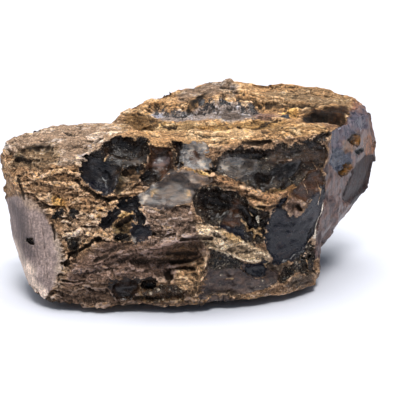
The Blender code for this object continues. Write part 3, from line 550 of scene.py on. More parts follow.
# Where each effect fades in: the value at which it is nothing, and the one at which it is whole.
FADES = {
    "seen": (0.02, 0.2),
    "at_edge": (-0.25, -0.05),
    "facing_front": (0.05, 0.3),
    "facing_end": (0.72, 0.9),
    "on_end": (-0.5, 0.5),
    "left_face": (-0.3, 0.3),
    "slate_face": (-0.5, 1.5),
    "smooth_pane": (-0.5, 1.0),
    "crust_up": (0.35, 0.75),
    "top_zone": (0.1, 0.5),
    "top_line": (0.3, 0.7),
    "top": (0.5, 0.9),
    "under": (0.5, 0.95),
    "cream_to_left": (-14, -30),
    "hidden_brown": (-0.1, 0.3),
    "hidden_mauve": (0.1, 0.4),
    "draped": (-1.0, 2.0),
    "draped_facing": (0.1, 0.4),
    "plate_step": (0.72, 1.0),
    "worn": (-0.3, 0.3),
    "line": (0.0, 0.9),
    "sheet_facing": (0.15, 0.5),
    "crease": (0.0, 0.22),
    "bare": (-0.1, 0.5),
    "right_side": (0.3, 0.7),
    "left_side": (0.4, 0.8),
}

# Finer relief that only the visible skin has, in mm: fragments as (long, deep, thick), how far they
# stand out, how much each one's face leans, and the creases between them.
SPLINTERS = ((4.4, 3.4, 1.4), 0.50, 0.34, 0.14)
CRUMBS = ((1.5, 1.3, 0.9), 0.22, 0.36, 0.10)
CHIPS = ((4.6, 4.0, 3.2), 0.30, 0.40, 0.0)
HACKLE = ((1.5, 1.2, 1.0), 0.06, 0.26, 0.0)
THIN_PLATES = ((6.5, 4.2, 2.2), 0.42, 0.05, 0.12)
SWIRL_SIZE = 2.5
SWIRL = 0.35
CHIPS_LEAST = 0.12
HACKLE_LEAST = 0.08
CRUMB_HEIGHT = 0.16
RUBBLE_HEIGHT = 0.3
SPLINTER_FLAKE = 0.65
FOLD_SPLINTERS = 0.5
FINE_STREAK_WIDTH = 0.8
FINE_STREAK_HEIGHT = 0.2
FINE_STREAK_SEED = 15
TOP_QUIET = 0.8
SIDE_QUIET = 0.75
SMOOTH_QUIET = 0.9
TOP_CRUMB_QUIET = 0.5
FOLD_CRUMB_QUIET = 0.5
FINE_RAGGED = 0.45
WEAR_PER_WIDTH = 0.12
SHEET_WEAR = 0.8
FLECK_WEAR = 3.0
FLECK_HEIGHT = 0.6
FLECK_DEPTH = 0.3

# The skin's making: how it is softened, and how far it is smoothed to find its edges and hollows.
SOFTENING = 0.5
SOFTENING_ROUNDS = 16
EVEN_SMOOTHING = 0.8
EDGE_ROUNDS = 6
HOLLOW_ROUNDS = 60

# The bare resin is clear only this far inside a pane, in mm. Light that goes into it dies away fast.
RESIN_MARGIN = 0.7
RESIN_IOR = 1.54
RESIN_SHINE = 0.22
CLEAR_SHARE = 0.4
ABSORBED_COLOUR = (0.66, 0.42, 0.10)
ABSORPTION = 450.0

# Looks of the broken resin: colour (linear), how hazy it is, and how much crust dust lies on it. The glint
# and sheen looks, and the pale look, paint highlights and sheen into the colour.
LOOKS = {
    "black": ((0.0090, 0.0050, 0.0030), 0.12, 0.60),
    "smooth_black": ((0.0050, 0.0036, 0.0032), 0.08, 0.04),
    "blue_black": ((0.0125, 0.0115, 0.0130), 0.12, 0.10),
    "rubble": ((0.013, 0.0085, 0.0055), 0.26, 1.0),
    "brown": ((0.040, 0.022, 0.012), 0.22, 0.50),
    "plum": ((0.050, 0.022, 0.011), 0.20, 0.30),
    "mauve": ((0.410, 0.300, 0.220), 0.38, 0.20),
    "slate": ((0.0048, 0.0053, 0.0098), 0.20, 0.18),
    # Painted sheen, partly: a lighter grey for facets that show a soft sheen.
    "grey": ((0.095, 0.080, 0.070), 0.26, 0.65),
    # Painted sheen, partly: a paler grey for the shiny pane.
    "pale": ((0.165, 0.152, 0.142), 0.30, 0.30),
    "dusty": ((0.080, 0.057, 0.049), 0.50, 0.60),
    "amber": ((0.21, 0.088, 0.016), 0.12, 0.0),
    # Painted glints: a pale colour where the resin shows bright highlights.
    "glint_silver": ((0.35, 0.315, 0.275), 0.30, 0.35),
    "umber": ((0.0080, 0.0034, 0.0016), 0.10, 0.06),
    # Painted sheen: a pinkish sheen spot on the plum pane.
    "sheen_rose": ((0.150, 0.104, 0.094), 0.30, 0.10),
    # Painted sheen: a lighter grey for the roof's soft sheen.
    "sheen_ash": ((0.044, 0.035, 0.029), 0.40, 0.20),
    "night": ((0.018, 0.017, 0.019), 0.24, 0.6),
    "pearl": ((0.094, 0.074, 0.062), 0.40, 0.20),
    "ochre": ((0.36, 0.23, 0.11), 0.40, 0.30),
    "amber_rubble": ((0.055, 0.028, 0.012), 0.14, 1.0),
    "end_grey": ((0.086, 0.073, 0.092), 0.30, 0.10),
    "blue_grey": ((0.044, 0.050, 0.072), 0.22, 0.05),
    "slate_light": ((0.019, 0.018, 0.023), 0.26, 0.12),
    "end_mauve": ((0.120, 0.075, 0.066), 0.34, 0.15),
    "end_plum": ((0.020, 0.0070, 0.0060), 0.62, 0.04),
    "end_amber": ((0.188, 0.080, 0.036), 0.30, 0.05),
    "end_umber": ((0.016, 0.0075, 0.004), 0.10, 0.0),
    "end_glow": ((0.150, 0.068, 0.016), 0.12, 0.0),
    "end_tan": ((0.192, 0.118, 0.079), 0.34, 0.10),
}

CRUST_TAN = (0.69, 0.45, 0.27)
TOP_OCHRE = (0.76, 0.49, 0.265)
TOP_CREAM = (0.61, 0.472, 0.376)
HIDDEN_TAN = (0.44, 0.29, 0.175)
HIDDEN_BROWN = (0.25, 0.155, 0.090)
HIDDEN_MAUVE = (0.30, 0.225, 0.18)
# Painted shade inside the carved cracks: its brown, how much of it, and which cracks get it (deeper than this
# height, narrower than this half width) over what share of their width.
CRACK_SHADE_BROWN = (0.030, 0.018, 0.010)
CRACK_SHADE_SHARE = 0.85
DARK_CRACK_HEIGHT = -0.75
DARK_CRACK_WIDEST = 2
DARK_CRACK_SHARE = 0.75
RIGHT_PLUM = (0.105, 0.078, 0.080)
LEFT_MAUVE = (0.340, 0.257, 0.234)

# Colour zones of the front's crust: outline on the sheet, colour, and how softly it fades, in mm.
FRONT_ZONES = {
    "brown_front": (
        [(140, 130), (330, 125), (328, 300), (60, 310), (64, 262), (140, 240), (140, 195), (70, 178)],
        (0.523, 0.352, 0.235), 2.0),
    "drape": (DRAPED_FRONT, (0.325, 0.224, 0.186), 1.5),
    "middle_mound": (
        [(143, 207), (190, 207), (196, 222), (200, 228), (178, 240), (155, 244), (150, 236), (143, 222)],
        (0.500, 0.377, 0.322), 0.8),
    "undercut_shade": (
        [(160, 262), (175, 245), (205, 240), (200, 262), (185, 268)],
        (0.198, 0.124, 0.079), 1.0),
    # Painted shade: near-black inside the deep hole.
    "cavity_eye": ([(164, 269), (171, 268), (172, 278), (168, 281), (164, 278)], (0.012, 0.008, 0.006), 0.4),
    "cavity_floor": ([(174, 270), (200, 262), (207, 250), (204, 275), (196, 298), (180, 299), (176, 280)],
                     (0.928, 0.649, 0.407), 0.6),
    "low_band": (
        [(56, 288), (110, 282), (160, 284), (190, 296), (200, 308), (56, 308)],
        (0.237, 0.163, 0.125), 1.2),
    "rubble_foot": ([(140, 286), (160, 284), (180, 288), (182, 304), (140, 304)], (0.34, 0.22, 0.12), 0.8),
    "yellow_crumbs": ([(152, 288), (159, 288), (161, 298), (155, 298)], (0.60, 0.42, 0.16), 0.4),
    "long_ledge": (
        [(198, 170), (212, 174), (232, 178), (246, 188), (262, 188), (296, 184), (300, 190), (280, 206),
         (268, 213), (250, 203), (240, 196), (215, 184)],
        (0.696, 0.427, 0.245), 0.8),
    "olive_ledge": ([(262, 185), (288, 187), (286, 192), (264, 191)], (0.36, 0.28, 0.09), 0.5),
    "amber_ledge": (
        [(288, 188), (292, 178), (302, 172), (308, 174), (298, 190), (296, 198)],
        (0.36, 0.20, 0.085), 0.8),
    "gold_strip": (
        [(182, 169), (200, 170), (211, 173), (208, 180), (196, 177), (184, 173)],
        (0.72, 0.46, 0.16), 0.4),
    "inner_crust": (
        [(114, 190), (116, 176), (124, 167), (134, 164), (146, 165), (146, 173), (134, 184), (124, 192)],
        (0.34, 0.23, 0.14), 0.6),
    "olive_seam": ([(114, 194), (115, 176), (122, 171), (124, 182), (121, 196)], (0.14, 0.105, 0.055), 0.5),
    "groove_wall": ([(178, 150), (184, 150), (186, 160), (181, 168)], (0.16, 0.11, 0.04), 0.4),
    "low_ledge": (
        [(194, 222), (212, 225), (230, 230), (246, 242), (270, 252), (268, 264), (235, 262), (205, 246)],
        (1.000, 0.815, 0.600), 0.6),
    "ledge_glint": ([(222, 231), (234, 234), (243, 241), (238, 246), (228, 241)], (0.85, 0.60, 0.32), 0.4),
    "ledge_edge": ([(240, 243), (262, 248), (263, 251), (242, 247)], (0.75, 0.60, 0.42), 0.3),
    "tan_patch": (
        [(262, 262), (283, 264), (296, 260), (288, 266), (278, 276), (264, 276)],
        (0.160, 0.122, 0.094), 0.5),
    "corner_lump": (
        [(287, 209), (290, 201), (297, 198), (305, 205), (302, 216), (294, 218)],
        (0.309, 0.206, 0.159), 0.5),
    "chip": ([(224, 277), (233, 277), (234, 283), (226, 283)], (0.52, 0.36, 0.21), 0.3),
    "hollow_crumbs": ([(79, 154), (114, 148), (114, 167), (82, 167)], (0.56, 0.36, 0.15), 0.4),
    "amber_edge": ([(117, 134), (135, 132), (135, 143), (119, 143)], (0.40, 0.28, 0.09), 0.4),
    "crumb_ridges": ([(243, 218), (264, 203), (268, 236), (250, 240)], (0.920, 0.655, 0.380), 0.5),
    "edge_vein": ([(319, 203), (327, 203), (325, 243), (317, 243)], (0.80, 0.70, 0.60), 0.3),
    "white_chip": ([(256, 215), (265, 215), (266, 226), (258, 226)], (0.95, 0.88, 0.72), 0.3),
    "left_brow": ([(20, 149), (60, 145), (58, 160), (46, 168), (10, 166)], (0.244, 0.180, 0.115), 0.8),
    "cream_plate": (
        [(48, 168), (63, 157), (75, 153), (80, 166), (79, 175), (58, 175)],
        (0.835, 0.535, 0.302), 0.6),
    "amber_streaks": ([(50, 198), (66, 197), (64, 207), (52, 206)], (0.72, 0.42, 0.15), 0.5),
    "tongue": (
        [(114, 219), (120, 213), (131, 212), (134, 217), (128, 222), (120, 224)],
        (0.52, 0.33, 0.14), 0.4),
    "tongue_foot": ([(110, 226), (127, 222), (128, 238), (112, 238)], (0.24, 0.165, 0.08), 0.6),
    "left_low_crust": ([(58, 212), (94, 214), (97, 230), (82, 244), (62, 242)], (0.842, 0.616, 0.437), 0.8),
    "left_face_rim": (
        [(13, 238), (20, 240), (38, 283), (54, 299), (50, 304), (38, 302), (22, 274)],
        (0.86, 0.68, 0.56), 0.5),
    "left_face_top": (
        [(14, 196), (30, 198), (46, 212), (52, 226), (40, 218), (24, 208)],
        (0.40, 0.29, 0.22), 0.8),
    "left_face_shade": (
        [(10, 205), (22, 212), (30, 236), (36, 262), (26, 262), (16, 236)],
        (0.15, 0.115, 0.11), 1.2),
    "left_corner": (
        [(52, 226), (60, 240), (66, 262), (62, 290), (54, 296), (56, 262)],
        (0.44, 0.34, 0.27), 0.8),
    "foot_lump": ([(284, 289), (298, 276), (320, 274), (314, 284), (296, 291)], (0.205, 0.160, 0.132), 0.6),
}
# Colour zones of the top, outlined in the same way.
TOP_ZONES = {
    "back_mauve": (
        [(178, 92), (192, 82), (222, 79), (240, 86), (236, 94), (200, 96), (180, 98)],
        (0.431, 0.334, 0.270), 1.2),
    "back_right": (
        [(262, 88), (300, 88), (345, 95), (350, 104), (300, 100), (266, 97)],
        (0.464, 0.337, 0.211), 1.0),
    "dark_riser": (
        [(152, 105), (163, 102), (190, 103), (205, 103), (228, 101), (250, 101), (264, 106), (262, 113),
         (250, 118), (225, 117), (208, 112), (185, 112), (166, 114)],
        (0.487, 0.454, 0.480), 0.5),
    # Painted shade: near-black in the notch of the riser.
    "wedge_dark": (
        [(186, 102), (190, 98), (197, 95), (207, 92), (203, 99), (195, 102)],
        (0.012, 0.008, 0.005), 0.3),
    "riser_grey": ([(214, 105), (240, 107), (258, 108), (250, 116), (226, 115)], (0.21, 0.18, 0.175), 0.5),
    "red_seam": ([(250, 112), (264, 105), (284, 105), (282, 112), (266, 117)], (0.32, 0.20, 0.16), 0.6),
    "brown_slope": ([(126, 112), (155, 108), (164, 116), (150, 124), (122, 127)], (0.33, 0.21, 0.10), 0.8),
    "bright_shelf": (
        [(158, 116), (192, 116), (205, 120), (190, 127), (150, 127)],
        (0.758, 0.559, 0.323), 0.8),
    "ochre_shelf": (
        [(200, 118), (245, 119), (280, 116), (300, 118), (270, 128), (220, 129), (196, 126)],
        (0.615, 0.396, 0.172), 1.0),
    "cream_shelf": (
        [(182, 130), (205, 132), (240, 129), (262, 133), (240, 139), (190, 138)],
        (0.875, 0.633, 0.385), 0.8),
    "right_shelf": ([(268, 122), (330, 120), (330, 131), (290, 135), (266, 133)], (0.541, 0.350, 0.174), 1.0),
    "right_shade": (
        [(304, 109), (318, 104), (346, 104), (350, 113), (344, 118), (326, 116), (307, 116)],
        (0.044, 0.018, 0.006), 0.8),
    # Painted shade: near-black in the deepest part of the top's right hollow.
    "right_core": (
        [(303, 111), (311, 108), (323, 110), (336, 108), (330, 113), (318, 117), (308, 115)],
        (0.010, 0.006, 0.004), 0.5),
    "dark_corner": ([(280, 108), (291, 108), (290, 113), (282, 113)], (0.10, 0.075, 0.06), 0.4),
    "red_lip": ([(318, 117), (345, 117), (344, 124), (330, 126)], (0.38, 0.23, 0.14), 0.6),
    "orange_spot": ([(282, 104), (300, 103), (300, 110), (288, 110)], (0.80, 0.48, 0.17), 0.4),
    "red_corner": ([(352, 100), (363, 104), (362, 114), (352, 114)], (0.30, 0.15, 0.10), 0.6),
    "brow_top": ([(20, 149), (60, 145), (58, 160), (46, 168), (10, 166)], (0.415, 0.300, 0.196), 0.8),
    "brow_dark": (
        [(25, 146), (34, 144), (51, 143), (50, 147), (35, 150), (27, 151)],
        (0.06, 0.045, 0.03), 0.4),
    "brow_spot": ([(13, 158), (20, 155), (32, 158), (30, 162), (16, 162)], (0.06, 0.045, 0.03), 0.4),
}

# Browns and pales of the crust and of what lies on the broken resin. Painted shade: the hollow brown in the
# crust's hollows, and partly the seam brown in its creases and the pit brown in its pits. Painted highlights:
# partly the pales of grains, worn edges, scratches and flecks.
SEAM_AND_CREVICE_SHADE = (0.024, 0.014, 0.008, 1)
HOLLOW_SHADE_BROWN = (0.05, 0.032, 0.02, 1)
CREASE_BROWN = (0.040, 0.024, 0.014, 1)
PIT_SHADE_BROWN = (0.040, 0.022, 0.012, 1)
STAIN_BROWN = (0.055, 0.030, 0.016, 1)
DUST_BROWN = (0.13, 0.070, 0.028, 1)
DUST_AND_GLINT_PALE = (0.80, 0.66, 0.48, 1)
SCRATCH_GLINT_PALE = (0.34, 0.30, 0.28, 1)
COOL = (0.93, 0.99, 1.09, 1)
WARM = (1.10, 1.00, 0.92, 1)
GRAIN_GLINT_PALE = 1.7
WORN_AND_LIT_PALE = 1.9

# Shades of the crust's fragments: what the tint is multiplied by, and between which values of a
# fragment's own number it comes in. A later one covers an earlier one.
CRUST_SHADES = {
    "umber": ((0.62, 0.52, 0.42, 1), (0.40, 0.22)),
    "ochre": ((1.16, 0.98, 0.66, 1), (0.44, 0.54)),
    "mauve": ((0.86, 0.92, 1.10, 1), (0.60, 0.66)),
    "cream": ((1.35, 1.42, 1.50, 1), (0.70, 0.82)),
}

# Grain of the surface: stretch along X, Y and Z, how many lumps a mm, detail, roughness and turn.
GRAINS = {
    "layers": ((0.42, 0.7, 1.0), 1.0, 6.0, 0.68, (0.0, 0.06, 0.0)),
    "folds": ((0.16, 0.4, 1.0), 1.5, 6.0, 0.6, (0.0, -STREAK_RISE, 0.0)),
    "fibres": ((1.0, 1.0, 0.14), 1.3, 5.0, 0.6, (0.0, 0.25, 0.0)),
    "long_grain": ((0.2, 0.9, 0.9), 1.2, 6.0, 0.66, (0.0, 0.0, 0.12)),
    "crumbs": ((0.8, 1, 1), 1.7, 7.0, 0.72, (0, 0, 0)),
    "patches": ((0.6, 1, 1), 0.22, 4.0, 0.6, (0, 0, 0)),
    "specks": ((1, 1, 1), 3.4, 2.0, 0.6, (0, 0, 0)),
    "plates": ((0.22, 0.6, 0.9), 0.8, 3.0, 0.5, (0.0, 0.06, 0.12)),
    "clouds": ((0.6, 1, 1), 0.45, 5.0, 0.6, (0, 0, 0)),
    "mist": ((1, 1, 1), 2.2, 6.0, 0.7, (0, 0, 0)),
    "front_hackle": ((0.16, 1, 1), 1.7, 4.0, 0.6, (0.0, -0.55, 0.3)),
    "end_hackle": ((1, 1, 0.10), 1.1, 5.0, 0.6, (-0.55, 0.25, 0.0)),
    "rim": ((1, 1, 1), 1.0, 7.0, 0.65, (0, 0, 0)),
}

# Climbs of the materials' masks and gains: from which value to which, and what they give there.
SPANS = {
    "layer_gain": (0.40, 0.61, 0.66, 1.34),
    "crumb_gain": (0.38, 0.63, -0.66, 0.66),
    "seam_and_crevice_shade": (0.02, 0.20, 0.0, 0.9),
    "hollow": (-0.25, -1.2, 0.0, 0.6),
    "crease": (0.018, 0.005, 0.0, 0.70),
    "crease_patch": (0.47, 0.57, 0.0, 1.0),
    "pits": (0.60, 0.68, 0.0, 0.85),
    "grains_and_glints": (0.40, 0.33, 0.0, 0.6),
    "worn": (0.08, 0.26, 0.0, 0.6),
    "crust_roughness": (0.40, 0.62, 0.58, 0.92),
    "warmth": (0.44, 0.56, 0.0, 1.0),
    "cloud_gain": (0.3, 0.7, 0.55, 1.6),
    "mist_gain": (0.38, 0.62, -1.0, 1.0),
    "streak_gain": (0.38, 0.64, -0.34, 0.40),
    "stain": (0.56, 0.62, 0.0, 0.5),
    "fleck_edge": (0.0, 0.05, 0.0, 1.0),
    "dust_pick": (0.25, 0.95, 0.0, 1.0),
    "dust_gain": (0.36, 0.64, 0.5, 1.3),
    "scratch_glint": (0.010, 0.0, 0.0, 0.30),
    "resin_roughness": (0.38, 0.62, 0.02, 0.16),
    "bare": (0.0, 0.14, 0.0, 1.0),
}

# Shares, reliefs and roughness of the materials. A pair is how much dust or lean adds, and the least.
CALM_GAIN = 0.58
TOP_CRUMB_LOSS = -0.2
NOISE_MIDDLE = 0.5
SHADE_DRIFT = 0.8
SMOOTH_EVENNESS = 0.8
LOOSE_SHARE = 0.5
TOP_CREASE_THINNESS = 0.8
LAYER_RELIEF = 0.40
PIT_RELIEF = 0.30
CREASE_RELIEF = 0.25
SMOOTH_RELIEF_LOSS = 0.6
DRIFT_SHARE = 0.5
CLOUDY_DUST = (0.30, 0.08)
LIVELINESS = (0.7, 0.3)
HAZE_ROUGHNESS = 0.75
FLECK_ROUGHNESS = 0.4
ROUGHEST_RESIN = 0.9
MIST_RELIEF = (0.14, 0.03)
HACKLE_RELIEF = 0.30
FLECK_RELIEF = 0.12
FLECK_DUST = 0.5

# Flecks on the broken resin, in three sizes: how many a mm, how rare and how big. The pale ones are partly
# painted glints.
FLECK_SIZES = ((0.9, 0.95, 0.46), (2.1, 0.84, 0.48), (3.6, 0.86, 0.46))
FLECK_RAREST = 1.5
FLECK_COVER = 0.85
FLECK_BEND = 1.1
FLECK_BEND_SCALE = 1.6
RIM_BREAK = 4.0

CRUST_INPUTS = {
    "Tint": "crust_tint", "Edge": "edge", "Hollow": "hollow", "Flake": "flake", "Draped": "draped",
    "Smooth": "smooth_break", "Top": "top",
}
RESIN_INPUTS = {"Tint": "resin_tint", "Haze": "haze", "Dust": "dust", "Lean": "right_end"}
SURFACE_OUTPUTS = {"Color": "NodeSocketColor", "Roughness": "NodeSocketFloat", "Height": "NodeSocketFloat"}

SENSOR_WIDTH = 36.0
FLOOR_COLOUR = (0.62, 0.635, 0.70, 1)
FLOOR_ROUGHNESS = 0.6
FLOOR_REACH = 3
ROOM_COLOUR = (0.68, 0.82, 1.0, 1)
ROOM_STRENGTH = 0.27
LAMP_COLOUR = (1.0, 0.98, 0.95)
# Soft lamps: name, which way the light goes, strength, and how many degrees across it looks.
SOFT_LAMPS = [
    ("soft_overhead", (-0.02, -0.27, -1.0), 2.7, 42),
    ("soft_left", (0.80, 0.25, -0.90), 0.6, 60),
    ("soft_front", (-0.10, 0.40, -1.00), 2.6, 22),
]


def hull(corner_groups):
    """The convex block that has these corners, as an object that is only a start for the skin."""
    shape = bmesh.new()
    for corners in corner_groups.values():
        for corner in corners:
            shape.verts.new(Vector(corner) * MM)
    made = bmesh.ops.convex_hull(shape, input=shape.verts)
    inside = [v for v in made["geom_interior"] if isinstance(v, bmesh.types.BMVert)]
    bmesh.ops.delete(shape, geom=inside, context="VERTS")
    bmesh.ops.recalc_face_normals(shape, faces=shape.faces)
    mesh = bpy.data.meshes.new("block")
    shape.to_mesh(mesh)
    shape.free()
    block = bpy.data.objects.new("block", mesh)
    bpy.context.scene.collection.objects.link(block)
    return block


def settle(piece):
    """Makes what the modifiers give the object's own mesh."""
    graph = bpy.context.evaluated_depsgraph_get()
    mesh = bpy.data.meshes.new_from_object(piece.evaluated_get(graph))
    piece.modifiers.clear()
    piece.data = mesh


def ease(low, high, value):
    """0 below low, 1 above high, and smooth between."""
    t = np.clip((value - low) / (high - low), 0.0, 1.0)
    return t * t * (3 - 2 * t)


def fade(name, value):
    """How far an effect has faded in, from 0 to 1, as its line in FADES says."""
    return ease(*FADES[name], value)


def rough(points, size, seed=0, octaves=4):
    """Fractal noise of about -1 to 1, whose largest lumps are this size in mm."""
    return np.array([noise.fractal(p, 1.0, 2.0, octaves) for p in (points / size + 31.7 * seed).tolist()])


def on_front_sheet(points):
    """Where points are seen on the front's sheet, in mm right and down of its middle."""
    offset = points - SIGHT_POINT
    scale = SIGHT_DISTANCE / (offset @ AHEAD)
    return np.stack([offset[:, 0] * scale, -(offset @ UPWARD) * scale], axis=1)


def from_steps(line):
    """A line of sheet steps, in mm right and down of the sheet's middle."""
    return (np.array(line, float) - SHEET_MIDDLE) * SIGHT_STEP


def sheet_axes(facing):
    """The right, up and outward directions of a flat sheet that faces this way."""
    around, above = (math.radians(a) for a in facing)
    right = np.array([math.cos(around), math.sin(around), 0.0])
    out = np.array([math.sin(around) * math.cos(above), -math.cos(around) * math.cos(above), math.sin(above)])
    return right, np.cross(out, right), out


def line_distance(spots, line):
    """How far each spot is from a line of points, in mm."""
    nearest = np.full(len(spots), 1e9)
    for start, end in zip(line[:-1], line[1:]):
        along = end - start
        share = np.clip((spots - start) @ along / (along @ along), 0.0, 1.0)
        nearest = np.minimum(nearest, np.linalg.norm(spots - start - share[:, None] * along, axis=1))
    return nearest


def depth_inside(spots, outline):
    """How far each spot lies inside an outline, in mm, and below 0 outside it."""
    closed = np.vstack([outline, outline[:1]])
    within = np.zeros(len(spots), bool)
    for (x0, y0), (x1, y1) in zip(closed[:-1], closed[1:]):
        crosses = (y0 > spots[:, 1]) != (y1 > spots[:, 1])
        if y0 != y1:
            within ^= crosses & (spots[:, 0] < x0 + (spots[:, 1] - y0) * (x1 - x0) / (y1 - y0))
    return np.where(within, 1.0, -1.0) * line_distance(spots, closed)


def shell_outline(middle, half_size, turn):
    """A shell scar's outline: an oval with one blunter end, turned on its sheet."""
    round_about = np.linspace(0, 2 * math.pi, SHELL_POINTS, endpoint=False)
    width = half_size[0] * (1 + SHELL_SWAY * np.sin(2 * round_about + middle[0]))
    height = half_size[1] * (1 + SHELL_BLUNTNESS * np.cos(3 * round_about + middle[1]))
    oval = np.stack([width * np.cos(round_about), height * np.sin(round_about)], axis=1)
    cos, sin = math.cos(math.radians(turn)), math.sin(math.radians(turn))
    return oval @ np.array([[cos, sin], [-sin, cos]]) + middle


class Skin:
    """The lump's fine skin while it is worked: its points, their first facing, and its broken panes."""

    def __init__(self, points, normals):
        self.points = points
        self.normals = normals
        self.front = on_front_sheet(points)
        toward_eye = SIGHT_POINT - points
        self.toward_eye = toward_eye / np.linalg.norm(toward_eye, axis=1)[:, None]
        toward = np.einsum("ij,ij->i", normals, self.toward_eye)
        self.seen = fade("seen", toward)
        self.at_edge = fade("at_edge", toward)
        self.ragged = RIM_RAGGED * rough(points, *ROUGH["ragged"])
        self.fine_ragged = FINE_RAGGED * rough(points, *ROUGH["fine_ragged"])
        self.broken = np.full(len(points), -UNBROKEN)
        self.tint = np.zeros((len(points), 3))
        self.haze = np.zeros(len(points))
        self.dust = np.zeros(len(points))
        self.flake = np.zeros(len(points))
        self.smooth = self.smoothness()
        self.crust_tint = self.crust_colours()

    def smoothness(self):
        """How much of a smooth break each point has, from 0 on the crust to 1."""
        facing_front = fade("facing_front", -self.normals[:, 1])
        left = depth_inside(self.front, from_steps(SMOOTH_LEFT_FACE)) + self.ragged + self.fine_ragged
        left = fade("left_face", left) * facing_front
        slate = fade("slate_face", depth_inside(self.front, from_steps(SMOOTH_SLATE_FACE))) * facing_front
        right_out = sheet_axes((RIGHT_END_FACING, 0))[2]
        on_end = fade("on_end", depth_inside(self.front, from_steps(END_PANES["end_face"][0])))
        self.right_end = fade("facing_end", self.normals @ right_out) * np.maximum(on_end, 1 - self.seen)
        self.left_face = left
        smooth = np.maximum(np.maximum(left, slate), self.right_end)
        for name in SMOOTH_PANES:
            pane = depth_inside(self.front, from_steps(FRONT_PANES[name][0]))
            smooth = np.maximum(smooth, fade("smooth_pane", pane) * facing_front)
        return smooth

    def crust_colours(self):
        """The crust's own colour at each point, blended from the named zones."""
        up = fade("crust_up", self.normals[:, 2])
        colour = np.tile(np.array(CRUST_TAN), (len(self.points), 1))
        edge = ZONE_RAGGED * self.ragged + ZONE_FINE_RAGGED * self.fine_ragged

        def blend(share, tone):
            colour[:] = colour * (1 - share[:, None]) + np.array(tone) * share[:, None]

        hidden = (1 - self.seen) * (1 - up)
        blend(hidden, HIDDEN_TAN)
        blend(hidden * fade("hidden_brown", rough(self.points, *ROUGH["hidden_brown"])), HIDDEN_BROWN)
        blend(hidden * fade("hidden_mauve", rough(self.points, *ROUGH["hidden_mauve"])), HIDDEN_MAUVE)
        blend(up, TOP_OCHRE)
        blend(up * fade("cream_to_left", self.points[:, 0]), TOP_CREAM)
        blend(self.left_face, LEFT_MAUVE)
        facing_up = fade("top_zone", self.normals[:, 2])
        for zones, share in ((FRONT_ZONES, self.seen * (1 - up)), (TOP_ZONES, self.seen * facing_up)):
            for outline, tone, soft in zones.values():
                inside = depth_inside(self.front, from_steps(outline)) + edge
                blend(ease(-soft, soft, inside) * share, tone)
        blend(self.right_end * (1 - self.seen), RIGHT_PLUM)
        # Painted shade: the deeper narrow cracks are darkened inside.
        for line, half_width, height in (*FRONT_LINES.values(), *TOP_LINES.values()):
            if height < DARK_CRACK_HEIGHT and half_width < DARK_CRACK_WIDEST:
                crack_shade = self.line(line, DARK_CRACK_SHARE * half_width)
                blend(CRACK_SHADE_SHARE * crack_shade * self.seen, CRACK_SHADE_BROWN)
        return colour

    def draped(self):
        """How much each point belongs to the draped folds of the low front."""
        inside = depth_inside(self.front, from_steps(DRAPED_FRONT))
        return fade("draped", inside) * fade("draped_facing", -self.normals[:, 1])

    def streaks(self, width, height, seed):
        """Long soft folds that rise to the right."""
        across = self.front @ np.array([math.sin(STREAK_RISE), math.cos(STREAK_RISE)])
        along = self.front @ np.array([math.cos(STREAK_RISE), -math.sin(STREAK_RISE)])
        spot = np.stack([across / width, along / (STREAK_LENGTH * width), 0 * across], axis=1)
        return height * STREAK_GAIN * rough(spot, 1.0, seed=seed, octaves=2)

    def crust(self):
        """Height of the crust's main relief, as the solid has it."""
        lumps = LUMP_HEIGHT * rough(self.points, *ROUGH["lumps"])
        bent = BEDDING_BEND * rough(self.points * BEND_STRETCH, *ROUGH["bedding_bend"])
        level = self.points @ BEDDING / PLATE_THICKNESS + bent
        layer = np.floor(level)
        rise = fade("plate_step", level - layer)
        heights = []
        for number in (layer, layer + 1):
            across = [self.points[:, 0] / PLATE_LENGTH, self.points[:, 1] / PLATE_WIDTH]
            place = np.stack([*across, number * PLATE_STRIDE], axis=1)
            heights.append(rough(place, *ROUGH["plates"]))
        plates = PLATE_HEIGHT * PLATE_GAIN * (heights[0] * (1 - rise) + heights[1] * rise)
        draped = self.draped()
        worn = fade("worn", rough(self.points, *ROUGH["worn"]))
        plates *= 1 - HIDDEN_WEAR * (1 - self.seen) * worn
        under = fade("under", -self.normals[:, 2])
        swells = SWELL_HEIGHT * rough(self.points, *ROUGH["swells"]) - SWELL_LIFT
        streaks = self.streaks(STREAK_WIDTH, STREAK_HEIGHT, STREAK_SEED)
        return lumps + plates * (1 - draped) + streaks * draped + swells * under

    def paint(self, points, look):
        """Gives some of the points a look of the broken resin."""
        for name, value in zip(("tint", "haze", "dust"), LOOKS[look]):
            getattr(self, name)[points] = value

    def pane(self, spots, outline, depth, growth, rim, weight, look, wear=1.0):
        """Depth cut by one pane, whose look is painted over any earlier one."""
        wear = wear * min(1.0, WEAR_PER_WIDTH * np.ptp(outline, axis=0).min())
        inside = depth_inside(spots, outline) + wear * (self.ragged + self.fine_ragged)
        floor = depth + (spots - outline.mean(axis=0)) @ np.array(growth, float)
        floor = np.maximum(floor, LEAST_DEPTH)
        reach = np.clip(RIM_STEEPNESS * rim * inside / floor, 0.0, 1.0)
        bite = floor * reach * (2 - reach) * weight
        if look:
            here = weight > PAINT_WEIGHT
            self.paint(here & (inside > np.minimum(-PAINT_MARGIN, self.broken - PAINT_MARGIN)), look)
            self.broken = np.where(here, np.maximum(inside, self.broken), self.broken)
        return bite

    def line(self, line, half_width):
        """How much of a line's height each point gets, from 0 away from it to 1 on it."""
        ragged_width = half_width * (1 + LINE_RAGGED * self.ragged)
        return fade("line", 1 - line_distance(self.front, from_steps(line)) / ragged_width)

